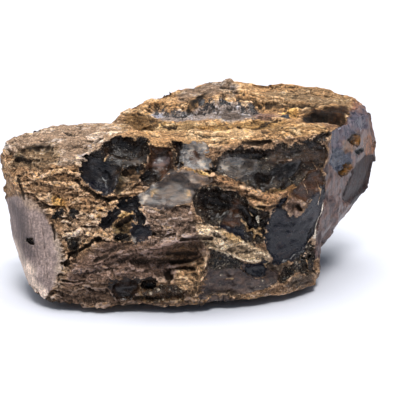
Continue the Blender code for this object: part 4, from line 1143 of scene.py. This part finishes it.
    def carve_front(self, moved):
        """Cuts the front's panes and cracks, and raises its ridges. Gives how far each point is ridged."""
        depth = np.zeros(len(self.points))
        for outline, deep, growth, rim, look in FRONT_PANES.values():
            bite = self.pane(self.front, from_steps(outline), deep, growth, rim, self.seen, look)
            depth = np.maximum(depth, bite)
        for spot, half_width in RISER_FLECKS:
            outline = shell_outline(from_steps(spot), (half_width, FLECK_HEIGHT * half_width), 0)
            self.pane(self.front, outline, FLECK_DEPTH, (0.0, 0.0), 1.0, self.seen, "night", FLECK_WEAR)
        ridged = np.zeros(len(self.points))
        for line, half_width, height in FRONT_LINES.values():
            raised = self.line(line, half_width)
            depth -= height * raised
            if height > 0:
                ridged = np.maximum(ridged, raised)
        moved -= self.toward_eye * (depth * self.seen)[:, None]
        return ridged

    def carve_end(self, moved):
        """Bares the right end's smooth break and cuts its panes and holes."""
        out = sheet_axes((RIGHT_END_FACING, 0))[2]
        bare_end = END_BARE_GAIN * (self.right_end - END_BARE_FROM) - UNBROKEN * self.seen
        self.broken = np.maximum(self.broken, bare_end)
        self.paint(bare_end > END_PAINT_FROM, "end_mauve")
        for outline, deep, growth, rim, look in END_PANES.values():
            bite = self.pane(self.front, from_steps(outline), deep, growth, rim, self.at_edge, look)
            moved -= out * (bite * self.seen)[:, None]

    def carve_sides(self, moved):
        """Cuts the steps of the top and the shell-shaped scars that the front hides."""
        sheets = [(facing, np.array(outline, float), *rest) for facing, outline, *rest in SIDE_PANES.values()]
        for facing, middle, half_size, turn, *rest in SHELLS.values():
            sheets.append((facing, shell_outline(middle, half_size, turn), *rest))
        for facing, outline, deep, growth, rim, look in sheets:
            right, up, out = sheet_axes(facing)
            spots = np.stack([self.points @ right, self.points @ up], axis=1)
            weight = fade("sheet_facing", self.normals @ out)
            growth = (growth[0], -growth[1])
            bite = self.pane(spots, outline, deep, growth, rim, weight, look, SHEET_WEAR)
            moved -= out * bite[:, None]

    def carve(self):
        """Moves the points from the plain block to the broken surface."""
        waves = [rough(self.points, *ROUGH[name]) for name in ("wave_right", "wave_back", "wave_up")]
        moved = self.points + WAVE_HEIGHT * np.stack(waves, axis=1)
        rest = 1 - (1 - SMOOTH_SHARE) * self.smooth
        moved += self.normals * (self.crust() * rest)[:, None]
        ridged = self.carve_front(moved)
        upward = self.seen * fade("top_line", self.normals[:, 2])
        for line, half_width, height in TOP_LINES.values():
            moved[:, 2] += height * upward * self.line(line, half_width)
        self.carve_end(moved)
        self.broken += self.seen * ridged * np.minimum(-RIDGE_COVER - self.broken, 0.0)
        self.carve_sides(moved)
        self.points = moved

    def fragments(self, points, kind, seed):
        """Relief of angular fragments, each with its own height and lean, parted by creases."""
        size, height, lean, crease = kind
        swirl = [rough(points, SWIRL_SIZE * max(size), seed + number, 2) for number in (0, 1, 2)]
        bent = points / size + SWIRL * np.stack(swirl, axis=1) + seed
        rise = np.empty(len(points))
        gaps = np.empty(len(points))
        for number, spot in enumerate(bent.tolist()):
            distances, places = noise.voronoi(spot)
            middle = places[0]
            slope = (Vector(spot) - middle).dot(noise.cell_vector(middle) * 2 - Vector((1, 1, 1)))
            self.flake[number] = noise.cell(middle)
            rise[number] = height * (self.flake[number] - 0.5) + lean * slope * size[2]
            gaps[number] = distances[1] - distances[0]
        return rise - crease * (1 - fade("crease", gaps))

    def refine(self, normals):
        """Adds the fine relief along the carved surface's own facing."""
        bare = fade("bare", self.broken)
        right_out = sheet_axes((RIGHT_END_FACING, 0))[2]
        at_right = fade("right_side", self.normals @ right_out)
        at_sides = np.maximum(at_right, fade("left_side", -self.normals[:, 0]))
        crusty = (1 - bare) * (1 - SMOOTH_QUIET * self.smooth) * (1 - SIDE_QUIET * at_sides)
        draped = self.draped()
        cos, sin = math.cos(STREAK_RISE), math.sin(STREAK_RISE)
        along_folds = self.points @ np.array([[cos, 0, sin], [0, 1, 0], [-sin, 0, cos]])
        splinters = self.fragments(self.points, SPLINTERS, FRAGMENT_SEEDS["splinters"])
        splinter = self.flake.copy()
        crumbs = self.fragments(self.points, CRUMBS, FRAGMENT_SEEDS["crumbs"])
        crumbs += CRUMB_HEIGHT * rough(self.points, *ROUGH["crumbs"])
        crumb = self.flake.copy()
        streaks = self.streaks(FINE_STREAK_WIDTH, FINE_STREAK_HEIGHT, FINE_STREAK_SEED)
        streaks += FOLD_SPLINTERS * self.fragments(along_folds, SPLINTERS, FRAGMENT_SEEDS["folds"])
        splinter = splinter * (1 - draped) + self.flake * draped
        chips = self.fragments(self.points, CHIPS, FRAGMENT_SEEDS["chips"])
        chips *= CHIPS_LEAST + (1 - CHIPS_LEAST) * self.dust
        hackle = self.fragments(self.points, HACKLE, FRAGMENT_SEEDS["hackle"])
        chips += hackle * (HACKLE_LEAST + (1 - HACKLE_LEAST) * self.dust)
        thin = self.fragments(self.points, THIN_PLATES, FRAGMENT_SEEDS["thin_plates"])
        self.flake = SPLINTER_FLAKE * splinter + (1 - SPLINTER_FLAKE) * crumb
        rubble = self.dust * RUBBLE_HEIGHT * rough(self.points, *ROUGH["rubble"])
        up = fade("top", self.normals[:, 2])
        splinters = splinters * (1 - TOP_QUIET * up) + thin * up
        crumbs *= 1 - TOP_CRUMB_QUIET * up
        crumbs *= 1 - FOLD_CRUMB_QUIET * draped
        rise = (splinters * (1 - draped) + crumbs + streaks * draped) * crusty
        self.points = self.points + normals * (rise + (chips + rubble) * bare)[:, None]


def fit_box(points, box):
    """The points with their outer sizes brought to the box that they must stay in, in mm."""
    low, high = (np.array(corner) / MM for corner in box)
    points = points.copy()
    points[:, 2] = np.maximum(points[:, 2], 0.0)
    least, most = points.min(axis=0), points.max(axis=0)
    return low + (points - least) / (most - least) * (high - low)


def mesh_arrays(mesh, *names):
    """The mesh's points or facings, as one array for each name."""
    found = []
    for name in names:
        values = np.empty(3 * len(mesh.vertices))
        mesh.vertices.foreach_get(name, values)
        found.append(values.reshape(-1, 3))
    return found


def set_points(mesh, points):
    mesh.vertices.foreach_set("co", (points * MM).ravel())
    mesh.update()


def store(mesh, name, values, kind="FLOAT"):
    """Keeps a value at each point under a name that the materials read."""
    made = mesh.attributes.new(name, kind, "POINT")
    made.data.foreach_set("value" if kind == "FLOAT" else "color", np.ascontiguousarray(values).ravel())


def relief_against(mesh, rounds):
    """How far each point stands above (or below 0, under) the surface once that is smoothed, in mm."""
    copy = bpy.data.objects.new("smoothed", mesh.copy())
    bpy.context.scene.collection.objects.link(copy)
    smooth = copy.modifiers.new("smooth", "SMOOTH")
    smooth.factor = EVEN_SMOOTHING
    smooth.iterations = rounds
    settle(copy)
    even = mesh_arrays(copy.data, "co")[0]
    bpy.data.objects.remove(copy, do_unlink=True)
    points, normals = mesh_arrays(mesh, "co", "normal")
    return np.einsum("ij,ij->i", points - even, normals) / MM


def make_skin(box):
    """The lump's own visible skin, which fills the same box as the solid."""
    block = hull(FRONT_BLOCK)
    back = hull(BACK_BLOCK)
    union = block.modifiers.new("join", "BOOLEAN")
    union.operation = "UNION"
    union.object = back
    even = block.modifiers.new("even", "REMESH")
    even.mode = "VOXEL"
    even.voxel_size = FINE_STEP * MM
    soft = block.modifiers.new("soft", "SMOOTH")
    soft.factor = SOFTENING
    soft.iterations = SOFTENING_ROUNDS
    settle(block)
    bpy.data.objects.remove(back, do_unlink=True)
    mesh = block.data
    points, normals = mesh_arrays(mesh, "co", "normal")
    skin = Skin(points / MM, normals)
    skin.carve()
    set_points(mesh, skin.points)
    skin.refine(mesh_arrays(mesh, "normal")[0])
    set_points(mesh, fit_box(skin.points, box))
    for name in ("broken", "haze", "dust", "flake", "right_end"):
        store(mesh, name, getattr(skin, name))
    store(mesh, "smooth_break", skin.smooth)
    store(mesh, "draped", skin.draped())
    store(mesh, "top", fade("top", skin.normals[:, 2]))
    for name, colour in (("resin_tint", skin.tint), ("crust_tint", skin.crust_tint)):
        store(mesh, name, np.hstack([colour, np.ones((len(colour), 1))]), "FLOAT_COLOR")
    # edge and hollow measure raised edges and hollows; the crust paints shade into its hollows and creases
    # and a highlight onto its raised edges from them.
    store(mesh, "edge", relief_against(mesh, EDGE_ROUNDS))
    store(mesh, "hollow", relief_against(mesh, HOLLOW_ROUNDS))
    fewer = block.modifiers.new("fewer", "DECIMATE")
    fewer.ratio = MOST_FACES / (2.0 * len(mesh.polygons))
    fewer.use_collapse_triangulate = True
    settle(block)
    mesh = block.data
    set_points(mesh, fit_box(mesh_arrays(mesh, "co")[0] / MM, box))
    block.name = "copal_lump"
    block.data.name = "copal_lump"
    mesh.shade_smooth()
    return block


def part_materials(lump, crust, resin):
    """Gives the lump its two materials: see-through resin on the bare panes, crust on the rest."""
    mesh = lump.data
    mesh.materials.append(crust)
    mesh.materials.append(resin)
    broken = np.empty(len(mesh.vertices))
    mesh.attributes["broken"].data.foreach_get("value", broken)
    corners = np.empty(len(mesh.loops), int)
    mesh.loops.foreach_get("vertex_index", corners)
    bare = broken[corners].reshape(-1, 3).min(axis=1) > RESIN_MARGIN
    mesh.polygons.foreach_set("material_index", bare.astype(int))


def set_camera():
    data = bpy.data.cameras.new("camera")
    data.sensor_width = SENSOR_WIDTH
    data.lens = SENSOR_WIDTH * SIGHT_DISTANCE / (2 * SHEET_MIDDLE * SIGHT_STEP)
    camera = bpy.data.objects.new("camera", data)
    camera.location = SIGHT_POINT * MM
    camera.rotation_euler = (math.pi / 2 - SIGHT_TILT, 0, 0)
    bpy.context.scene.collection.objects.link(camera)
    bpy.context.scene.camera = camera


def set_stage():
    """A wide pale floor."""
    mesh = bpy.data.meshes.new("floor")
    corners = [(-1, -1), (1, -1), (1, 1), (-1, 1)]
    mesh.from_pydata([(FLOOR_REACH * x, FLOOR_REACH * y, 0) for x, y in corners], [], [(0, 1, 2, 3)])
    floor = bpy.data.objects.new("floor", mesh)
    bpy.context.scene.collection.objects.link(floor)
    paper = bpy.data.materials.new("floor_paper")
    paper.use_nodes = True
    shader = paper.node_tree.nodes["Principled BSDF"]
    shader.inputs["Base Color"].default_value = FLOOR_COLOUR
    shader.inputs["Roughness"].default_value = FLOOR_ROUGHNESS
    mesh.materials.append(paper)


def set_lights():
    world = bpy.data.worlds.new("soft_room")
    world.use_nodes = True
    world.node_tree.nodes["Background"].inputs["Color"].default_value = ROOM_COLOUR
    world.node_tree.nodes["Background"].inputs["Strength"].default_value = ROOM_STRENGTH
    bpy.context.scene.world = world
    for name, toward, energy, angle in SOFT_LAMPS:
        data = bpy.data.lights.new(name, "SUN")
        data.angle = math.radians(angle)
        data.energy = energy
        data.color = LAMP_COLOUR
        lamp = bpy.data.objects.new(name, data)
        lamp.rotation_euler = Vector(toward).to_track_quat("-Z", "Y").to_euler()
        bpy.context.scene.collection.objects.link(lamp)


def put(tree, kind, inputs=None, **settings):
    """A node with its settings, and with its inputs set or linked."""
    node = tree.nodes.new(kind)
    for name, value in settings.items():
        setattr(node, name, value)
    for name, value in (inputs or {}).items():
        if isinstance(value, bpy.types.NodeSocket):
            tree.links.new(value, node.inputs[name])
        else:
            node.inputs[name].default_value = value
    return node


def calc(tree, operation, *values):
    node = put(tree, "ShaderNodeMath", dict(enumerate(values)), operation=operation)
    return node.outputs[0]


def times(tree, first, second):
    return calc(tree, "MULTIPLY", first, second)


def between(tree, share, at_zero, at_one):
    """A value that goes from one to the other as the share goes from 0 to 1."""
    rest = calc(tree, "SUBTRACT", 1.0, share)
    return calc(tree, "ADD", times(tree, at_one, share), times(tree, at_zero, rest))


def span(tree, value, name):
    """A value's smooth climb, as its line in SPANS says."""
    low, high, to_low, to_high = SPANS[name]
    return climb(tree, value, low, high, to_low, to_high)


def climb(tree, value, low, high, to_low=0.0, to_high=1.0):
    node = put(tree, "ShaderNodeMapRange", {
        "Value": value, "From Min": low, "From Max": high, "To Min": to_low, "To Max": to_high,
    }, interpolation_type="SMOOTHSTEP")
    return node.outputs["Result"]


def mix(tree, share, first, second, how="MIX"):
    node = put(tree, "ShaderNodeMix", data_type="RGBA", blend_type=how)
    for index, value in ((0, share), (6, first), (7, second)):
        if isinstance(value, bpy.types.NodeSocket):
            tree.links.new(value, node.inputs[index])
        else:
            node.inputs[index].default_value = value
    return node.outputs[2]


def tone(tree, colour, factor):
    """A colour times a factor."""
    node = put(tree, "ShaderNodeVectorMath", {0: colour, "Scale": factor}, operation="SCALE")
    return node.outputs[0]


def grain(tree, place, name):
    """Noise over the surface, in mm, as its line in GRAINS says."""
    stretch, scale, detail, roughness, turn = GRAINS[name]
    mapping = put(tree, "ShaderNodeMapping", {"Vector": place, "Rotation": turn, "Scale": stretch})
    node = put(tree, "ShaderNodeTexNoise", {
        "Vector": mapping.outputs[0], "Scale": scale, "Detail": detail, "Roughness": roughness,
    })
    return node.outputs["Fac"]


def group(name, inputs):
    """A node group with these inputs, which puts out a colour, a roughness and a height."""
    tree = bpy.data.node_groups.new(name, "ShaderNodeTree")
    for label in inputs:
        kind = "NodeSocketColor" if label == "Tint" else "NodeSocketFloat"
        tree.interface.new_socket(label, in_out="INPUT", socket_type=kind)
    for label, kind in SURFACE_OUTPUTS.items():
        tree.interface.new_socket(label, in_out="OUTPUT", socket_type=kind)
    return tree, tree.nodes.new("NodeGroupInput").outputs, tree.nodes.new("NodeGroupOutput").inputs


def place_in_mm(tree):
    spot = put(tree, "ShaderNodeTexCoord").outputs["Object"]
    return put(tree, "ShaderNodeVectorMath", {0: spot, "Scale": 1 / MM}, operation="SCALE").outputs[0]


def make_crust_group():
    """Bark-like crust: fragments of many browns, crumbs, pits, dark seams and pale worn edges, with painted
    shade in its creases, hollows and pits and painted highlights on its raised edges and pale grains.
    """
    tree, given, out = group("bark_crust", CRUST_INPUTS)
    place = place_in_mm(tree)
    tint, top, smooth = given["Tint"], given["Top"], given["Smooth"]
    layered = between(tree, top, grain(tree, place, "layers"), grain(tree, place, "long_grain"))
    layered = between(tree, given["Draped"], layered, grain(tree, place, "folds"))
    layered = between(tree, smooth, layered, grain(tree, place, "fibres"))
    crumbs, patches, specks, plates = (
        grain(tree, place, name) for name in ("crumbs", "patches", "specks", "plates"))
    crumb_share = calc(tree, "MULTIPLY_ADD", top, TOP_CRUMB_LOSS, 1.0)
    crumb_gain = calc(tree, "MULTIPLY_ADD", span(tree, crumbs, "crumb_gain"), crumb_share, 1.0)
    gain = times(tree, span(tree, layered, "layer_gain"), crumb_gain)
    calm = calc(tree, "ADD", times(tree, gain, CALM_GAIN), 1 - CALM_GAIN)
    gain = between(tree, smooth, gain, calm)

    drift = times(tree, calc(tree, "SUBTRACT", patches, NOISE_MIDDLE), SHADE_DRIFT)
    own = calc(tree, "ADD", given["Flake"], drift)
    varied = calc(tree, "SUBTRACT", 1.0, times(tree, smooth, SMOOTH_EVENNESS))
    colour = tint
    for shade, (low, high) in CRUST_SHADES.values():
        shaded = mix(tree, 1.0, tint, shade, "MULTIPLY")
        colour = mix(tree, times(tree, climb(tree, own, low, high), varied), colour, shaded)
    colour = tone(tree, colour, gain)

    loose = times(tree, calc(tree, "SUBTRACT", crumbs, NOISE_MIDDLE), LOOSE_SHARE)
    # Partly painted shade: seams darken where crumbs are loose and where the surface sinks into creases.
    seam_and_crevice_shade = calc(tree, "SUBTRACT", loose, given["Edge"])
    colour = mix(tree, span(tree, seam_and_crevice_shade, "seam_and_crevice_shade"), colour, SEAM_AND_CREVICE_SHADE)
    # Painted shade: darker in the skin's hollows.
    colour = mix(tree, span(tree, given["Hollow"], "hollow"), colour, HOLLOW_SHADE_BROWN)
    crease = calc(tree, "ABSOLUTE", calc(tree, "SUBTRACT", plates, NOISE_MIDDLE))
    crease = calc(tree, "DIVIDE", crease, calc(tree, "MULTIPLY_ADD", top, TOP_CREASE_THINNESS, 1.0))
    crease = times(tree, span(tree, crease, "crease"), varied)
    crease = times(tree, crease, span(tree, patches, "crease_patch"))
    colour = mix(tree, crease, colour, CREASE_BROWN)
    # Dark pits, partly painted shade.
    pits = times(tree, span(tree, specks, "pits"), varied)
    # Pale grains, partly painted glints.
    grains_and_glints = times(tree, span(tree, specks, "grains_and_glints"), varied)
    colour = mix(tree, grains_and_glints, colour, tone(tree, tint, GRAIN_GLINT_PALE))
    colour = mix(tree, pits, colour, PIT_SHADE_BROWN)
    # Pale worn edges, partly a painted highlight on raised edges.
    worn = span(tree, calc(tree, "ADD", given["Edge"], loose), "worn")
    colour = mix(tree, worn, colour, tone(tree, tint, WORN_AND_LIT_PALE))
    tree.links.new(colour, out["Color"])

    tree.links.new(span(tree, crumbs, "crust_roughness"), out["Roughness"])
    relief = calc(tree, "ADD", times(tree, layered, LAYER_RELIEF), times(tree, crumbs, crumb_share))
    relief = calc(tree, "SUBTRACT", relief, times(tree, pits, PIT_RELIEF))
    relief = calc(tree, "SUBTRACT", relief, times(tree, crease, CREASE_RELIEF))
    quiet = calc(tree, "SUBTRACT", 1.0, times(tree, smooth, SMOOTH_RELIEF_LOSS))
    tree.links.new(times(tree, relief, quiet), out["Height"])
    return tree


def scattered_flecks(tree, place, dust):
    """Where crumbs of crust, whose pale ones are partly painted glints, lie on the broken resin, more of them
    where it is dusty, and a number each.
    """
    fleck, pick = None, None
    for scale, least, most in FLECK_SIZES:
        bent = put(tree, "ShaderNodeTexNoise", {
            "Vector": place, "Scale": scale * FLECK_BEND_SCALE, "Detail": 2.0,
        })
        spot = put(tree, "ShaderNodeVectorMath", {
            0: place, 1: tone(tree, bent.outputs["Color"], FLECK_BEND),
        }, operation="ADD")
        cells = put(tree, "ShaderNodeTexVoronoi", {
            "Vector": spot.outputs[0], "Scale": scale, "Randomness": 1.0,
        })
        chance = put(tree, "ShaderNodeSeparateColor", {0: cells.outputs["Color"]}).outputs
        size = calc(tree, "MULTIPLY_ADD", dust, FLECK_DUST, chance[0])
        size = climb(tree, size, least, FLECK_RAREST, 0.0, most)
        one = span(tree, calc(tree, "SUBTRACT", size, cells.outputs["Distance"]), "fleck_edge")
        pick = chance[1] if fleck is None else between(tree, one, pick, chance[1])
        fleck = one if fleck is None else calc(tree, "MAXIMUM", fleck, one)
    return fleck, pick


def make_resin_group():
    """Broken resin: near-black glass with cloudy patches, hackle, scratches and crumbs of crust. Its pale
    scratches and pale flecks are partly painted glints.
    """
    tree, given, out = group("broken_resin", RESIN_INPUTS)
    place = place_in_mm(tree)
    tint, lean, dust = given["Tint"], given["Lean"], given["Dust"]
    clouds = grain(tree, place, "clouds")
    mist = grain(tree, place, "mist")
    hackle = between(tree, lean, grain(tree, place, "front_hackle"), grain(tree, place, "end_hackle"))
    cool = mix(tree, 1.0, tint, COOL, "MULTIPLY")
    warm = mix(tree, 1.0, tint, WARM, "MULTIPLY")
    drift = calc(tree, "ADD", times(tree, clouds, DRIFT_SHARE), times(tree, hackle, DRIFT_SHARE))
    colour = mix(tree, span(tree, drift, "warmth"), cool, warm)
    colour = tone(tree, colour, span(tree, clouds, "cloud_gain"))
    cloudy = times(tree, span(tree, mist, "mist_gain"), calc(tree, "MULTIPLY_ADD", dust, *CLOUDY_DUST))
    colour = tone(tree, colour, calc(tree, "ADD", cloudy, 1.0))
    lively = calc(tree, "MULTIPLY_ADD", calc(tree, "MAXIMUM", lean, dust), *LIVELINESS)
    streak = times(tree, span(tree, hackle, "streak_gain"), lively)
    colour = tone(tree, colour, calc(tree, "ADD", streak, 1.0))
    colour = mix(tree, times(tree, span(tree, clouds, "stain"), lively), colour, STAIN_BROWN)

    fleck, pick = scattered_flecks(tree, place, dust)
    # Pale flecks are partly painted glints.
    dust_and_glint_tone = mix(tree, span(tree, pick, "dust_pick"), DUST_BROWN, DUST_AND_GLINT_PALE)
    dust_and_glint_tone = tone(tree, dust_and_glint_tone, span(tree, mist, "dust_gain"))
    colour = mix(tree, times(tree, fleck, FLECK_COVER), colour, dust_and_glint_tone)
    # Painted glints: pale thin scratch lines.
    scratch_glint = calc(tree, "ABSOLUTE", calc(tree, "SUBTRACT", hackle, NOISE_MIDDLE))
    colour = mix(tree, span(tree, scratch_glint, "scratch_glint"), colour, SCRATCH_GLINT_PALE)
    tree.links.new(colour, out["Color"])

    rough_part = span(tree, clouds, "resin_roughness")
    rough_part = calc(tree, "MULTIPLY_ADD", given["Haze"], HAZE_ROUGHNESS, rough_part)
    rough_part = calc(tree, "MULTIPLY_ADD", fleck, FLECK_ROUGHNESS, rough_part)
    tree.links.new(calc(tree, "MINIMUM", rough_part, ROUGHEST_RESIN), out["Roughness"])
    relief = times(tree, mist, calc(tree, "MULTIPLY_ADD", dust, *MIST_RELIEF))
    relief = calc(tree, "MULTIPLY_ADD", hackle, times(tree, lively, HACKLE_RELIEF), relief)
    relief = calc(tree, "MULTIPLY_ADD", fleck, FLECK_RELIEF, relief)
    tree.links.new(relief, out["Height"])
    return tree


def make_lump_group():
    """The whole skin: crust and broken resin, parted along the panes' ragged rims."""
    tree, _, out = group("lump_surface", {})

    def read(name):
        node = put(tree, "ShaderNodeAttribute", attribute_name=name)
        return node.outputs["Color" if name.endswith("tint") else "Fac"]

    layers = []
    for made, inputs in ((make_crust_group(), CRUST_INPUTS), (make_resin_group(), RESIN_INPUTS)):
        values = {label: read(name) for label, name in inputs.items()}
        layers.append(put(tree, "ShaderNodeGroup", values, node_tree=made).outputs)
    crust, resin = layers
    ragged = calc(tree, "SUBTRACT", grain(tree, place_in_mm(tree), "rim"), NOISE_MIDDLE)
    bare = span(tree, calc(tree, "ADD", read("broken"), times(tree, ragged, RIM_BREAK)), "bare")
    tree.links.new(mix(tree, bare, crust["Color"], resin["Color"]), out["Color"])
    for label in ("Roughness", "Height"):
        sides = {0: bare, 2: crust[label], 3: resin[label]}
        blend = put(tree, "ShaderNodeMix", sides, data_type="FLOAT")
        tree.links.new(blend.outputs[0], out[label])
    return tree


def lump_material(name, surface):
    """An opaque material that wears the lump's surface."""
    made = bpy.data.materials.new(name)
    made.use_nodes = True
    tree = made.node_tree
    shader = tree.nodes["Principled BSDF"]
    skin = put(tree, "ShaderNodeGroup", node_tree=surface)
    tree.links.new(skin.outputs["Color"], shader.inputs["Base Color"])
    tree.links.new(skin.outputs["Roughness"], shader.inputs["Roughness"])
    bump = put(tree, "ShaderNodeBump", {"Strength": 1.0, "Distance": MM, "Height": skin.outputs["Height"]})
    tree.links.new(bump.outputs[0], shader.inputs["Normal"])
    shader.inputs["IOR"].default_value = RESIN_IOR
    shader.inputs["Specular IOR Level"].default_value = RESIN_SHINE
    return made


def clear_material(name, surface):
    """The same surface on see-through resin, whose body takes up the light that goes in."""
    made = lump_material(name, surface)
    tree = made.node_tree
    shader = tree.nodes["Principled BSDF"]
    shader.inputs["Transmission Weight"].default_value = CLEAR_SHARE
    skin = shader.inputs["Base Color"].links[0].from_socket
    tree.links.new(tone(tree, skin, 1 / (1 - CLEAR_SHARE)), shader.inputs["Base Color"])
    body = put(tree, "ShaderNodeVolumeAbsorption", {"Color": (*ABSORBED_COLOUR, 1), "Density": ABSORPTION})
    tree.links.new(body.outputs[0], tree.nodes["Material Output"].inputs["Volume"])
    return made


def main():
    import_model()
    cad_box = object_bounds()
    set_camera()
    set_stage()
    set_lights()
    lump = make_skin(cad_box)
    surface = make_lump_group()
    part_materials(lump, lump_material("copal_crust", surface), clear_material("copal_resin", surface))
    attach(lump, "root")
    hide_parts("copal")
    bpy.context.scene.view_settings.view_transform = "Standard"


main()
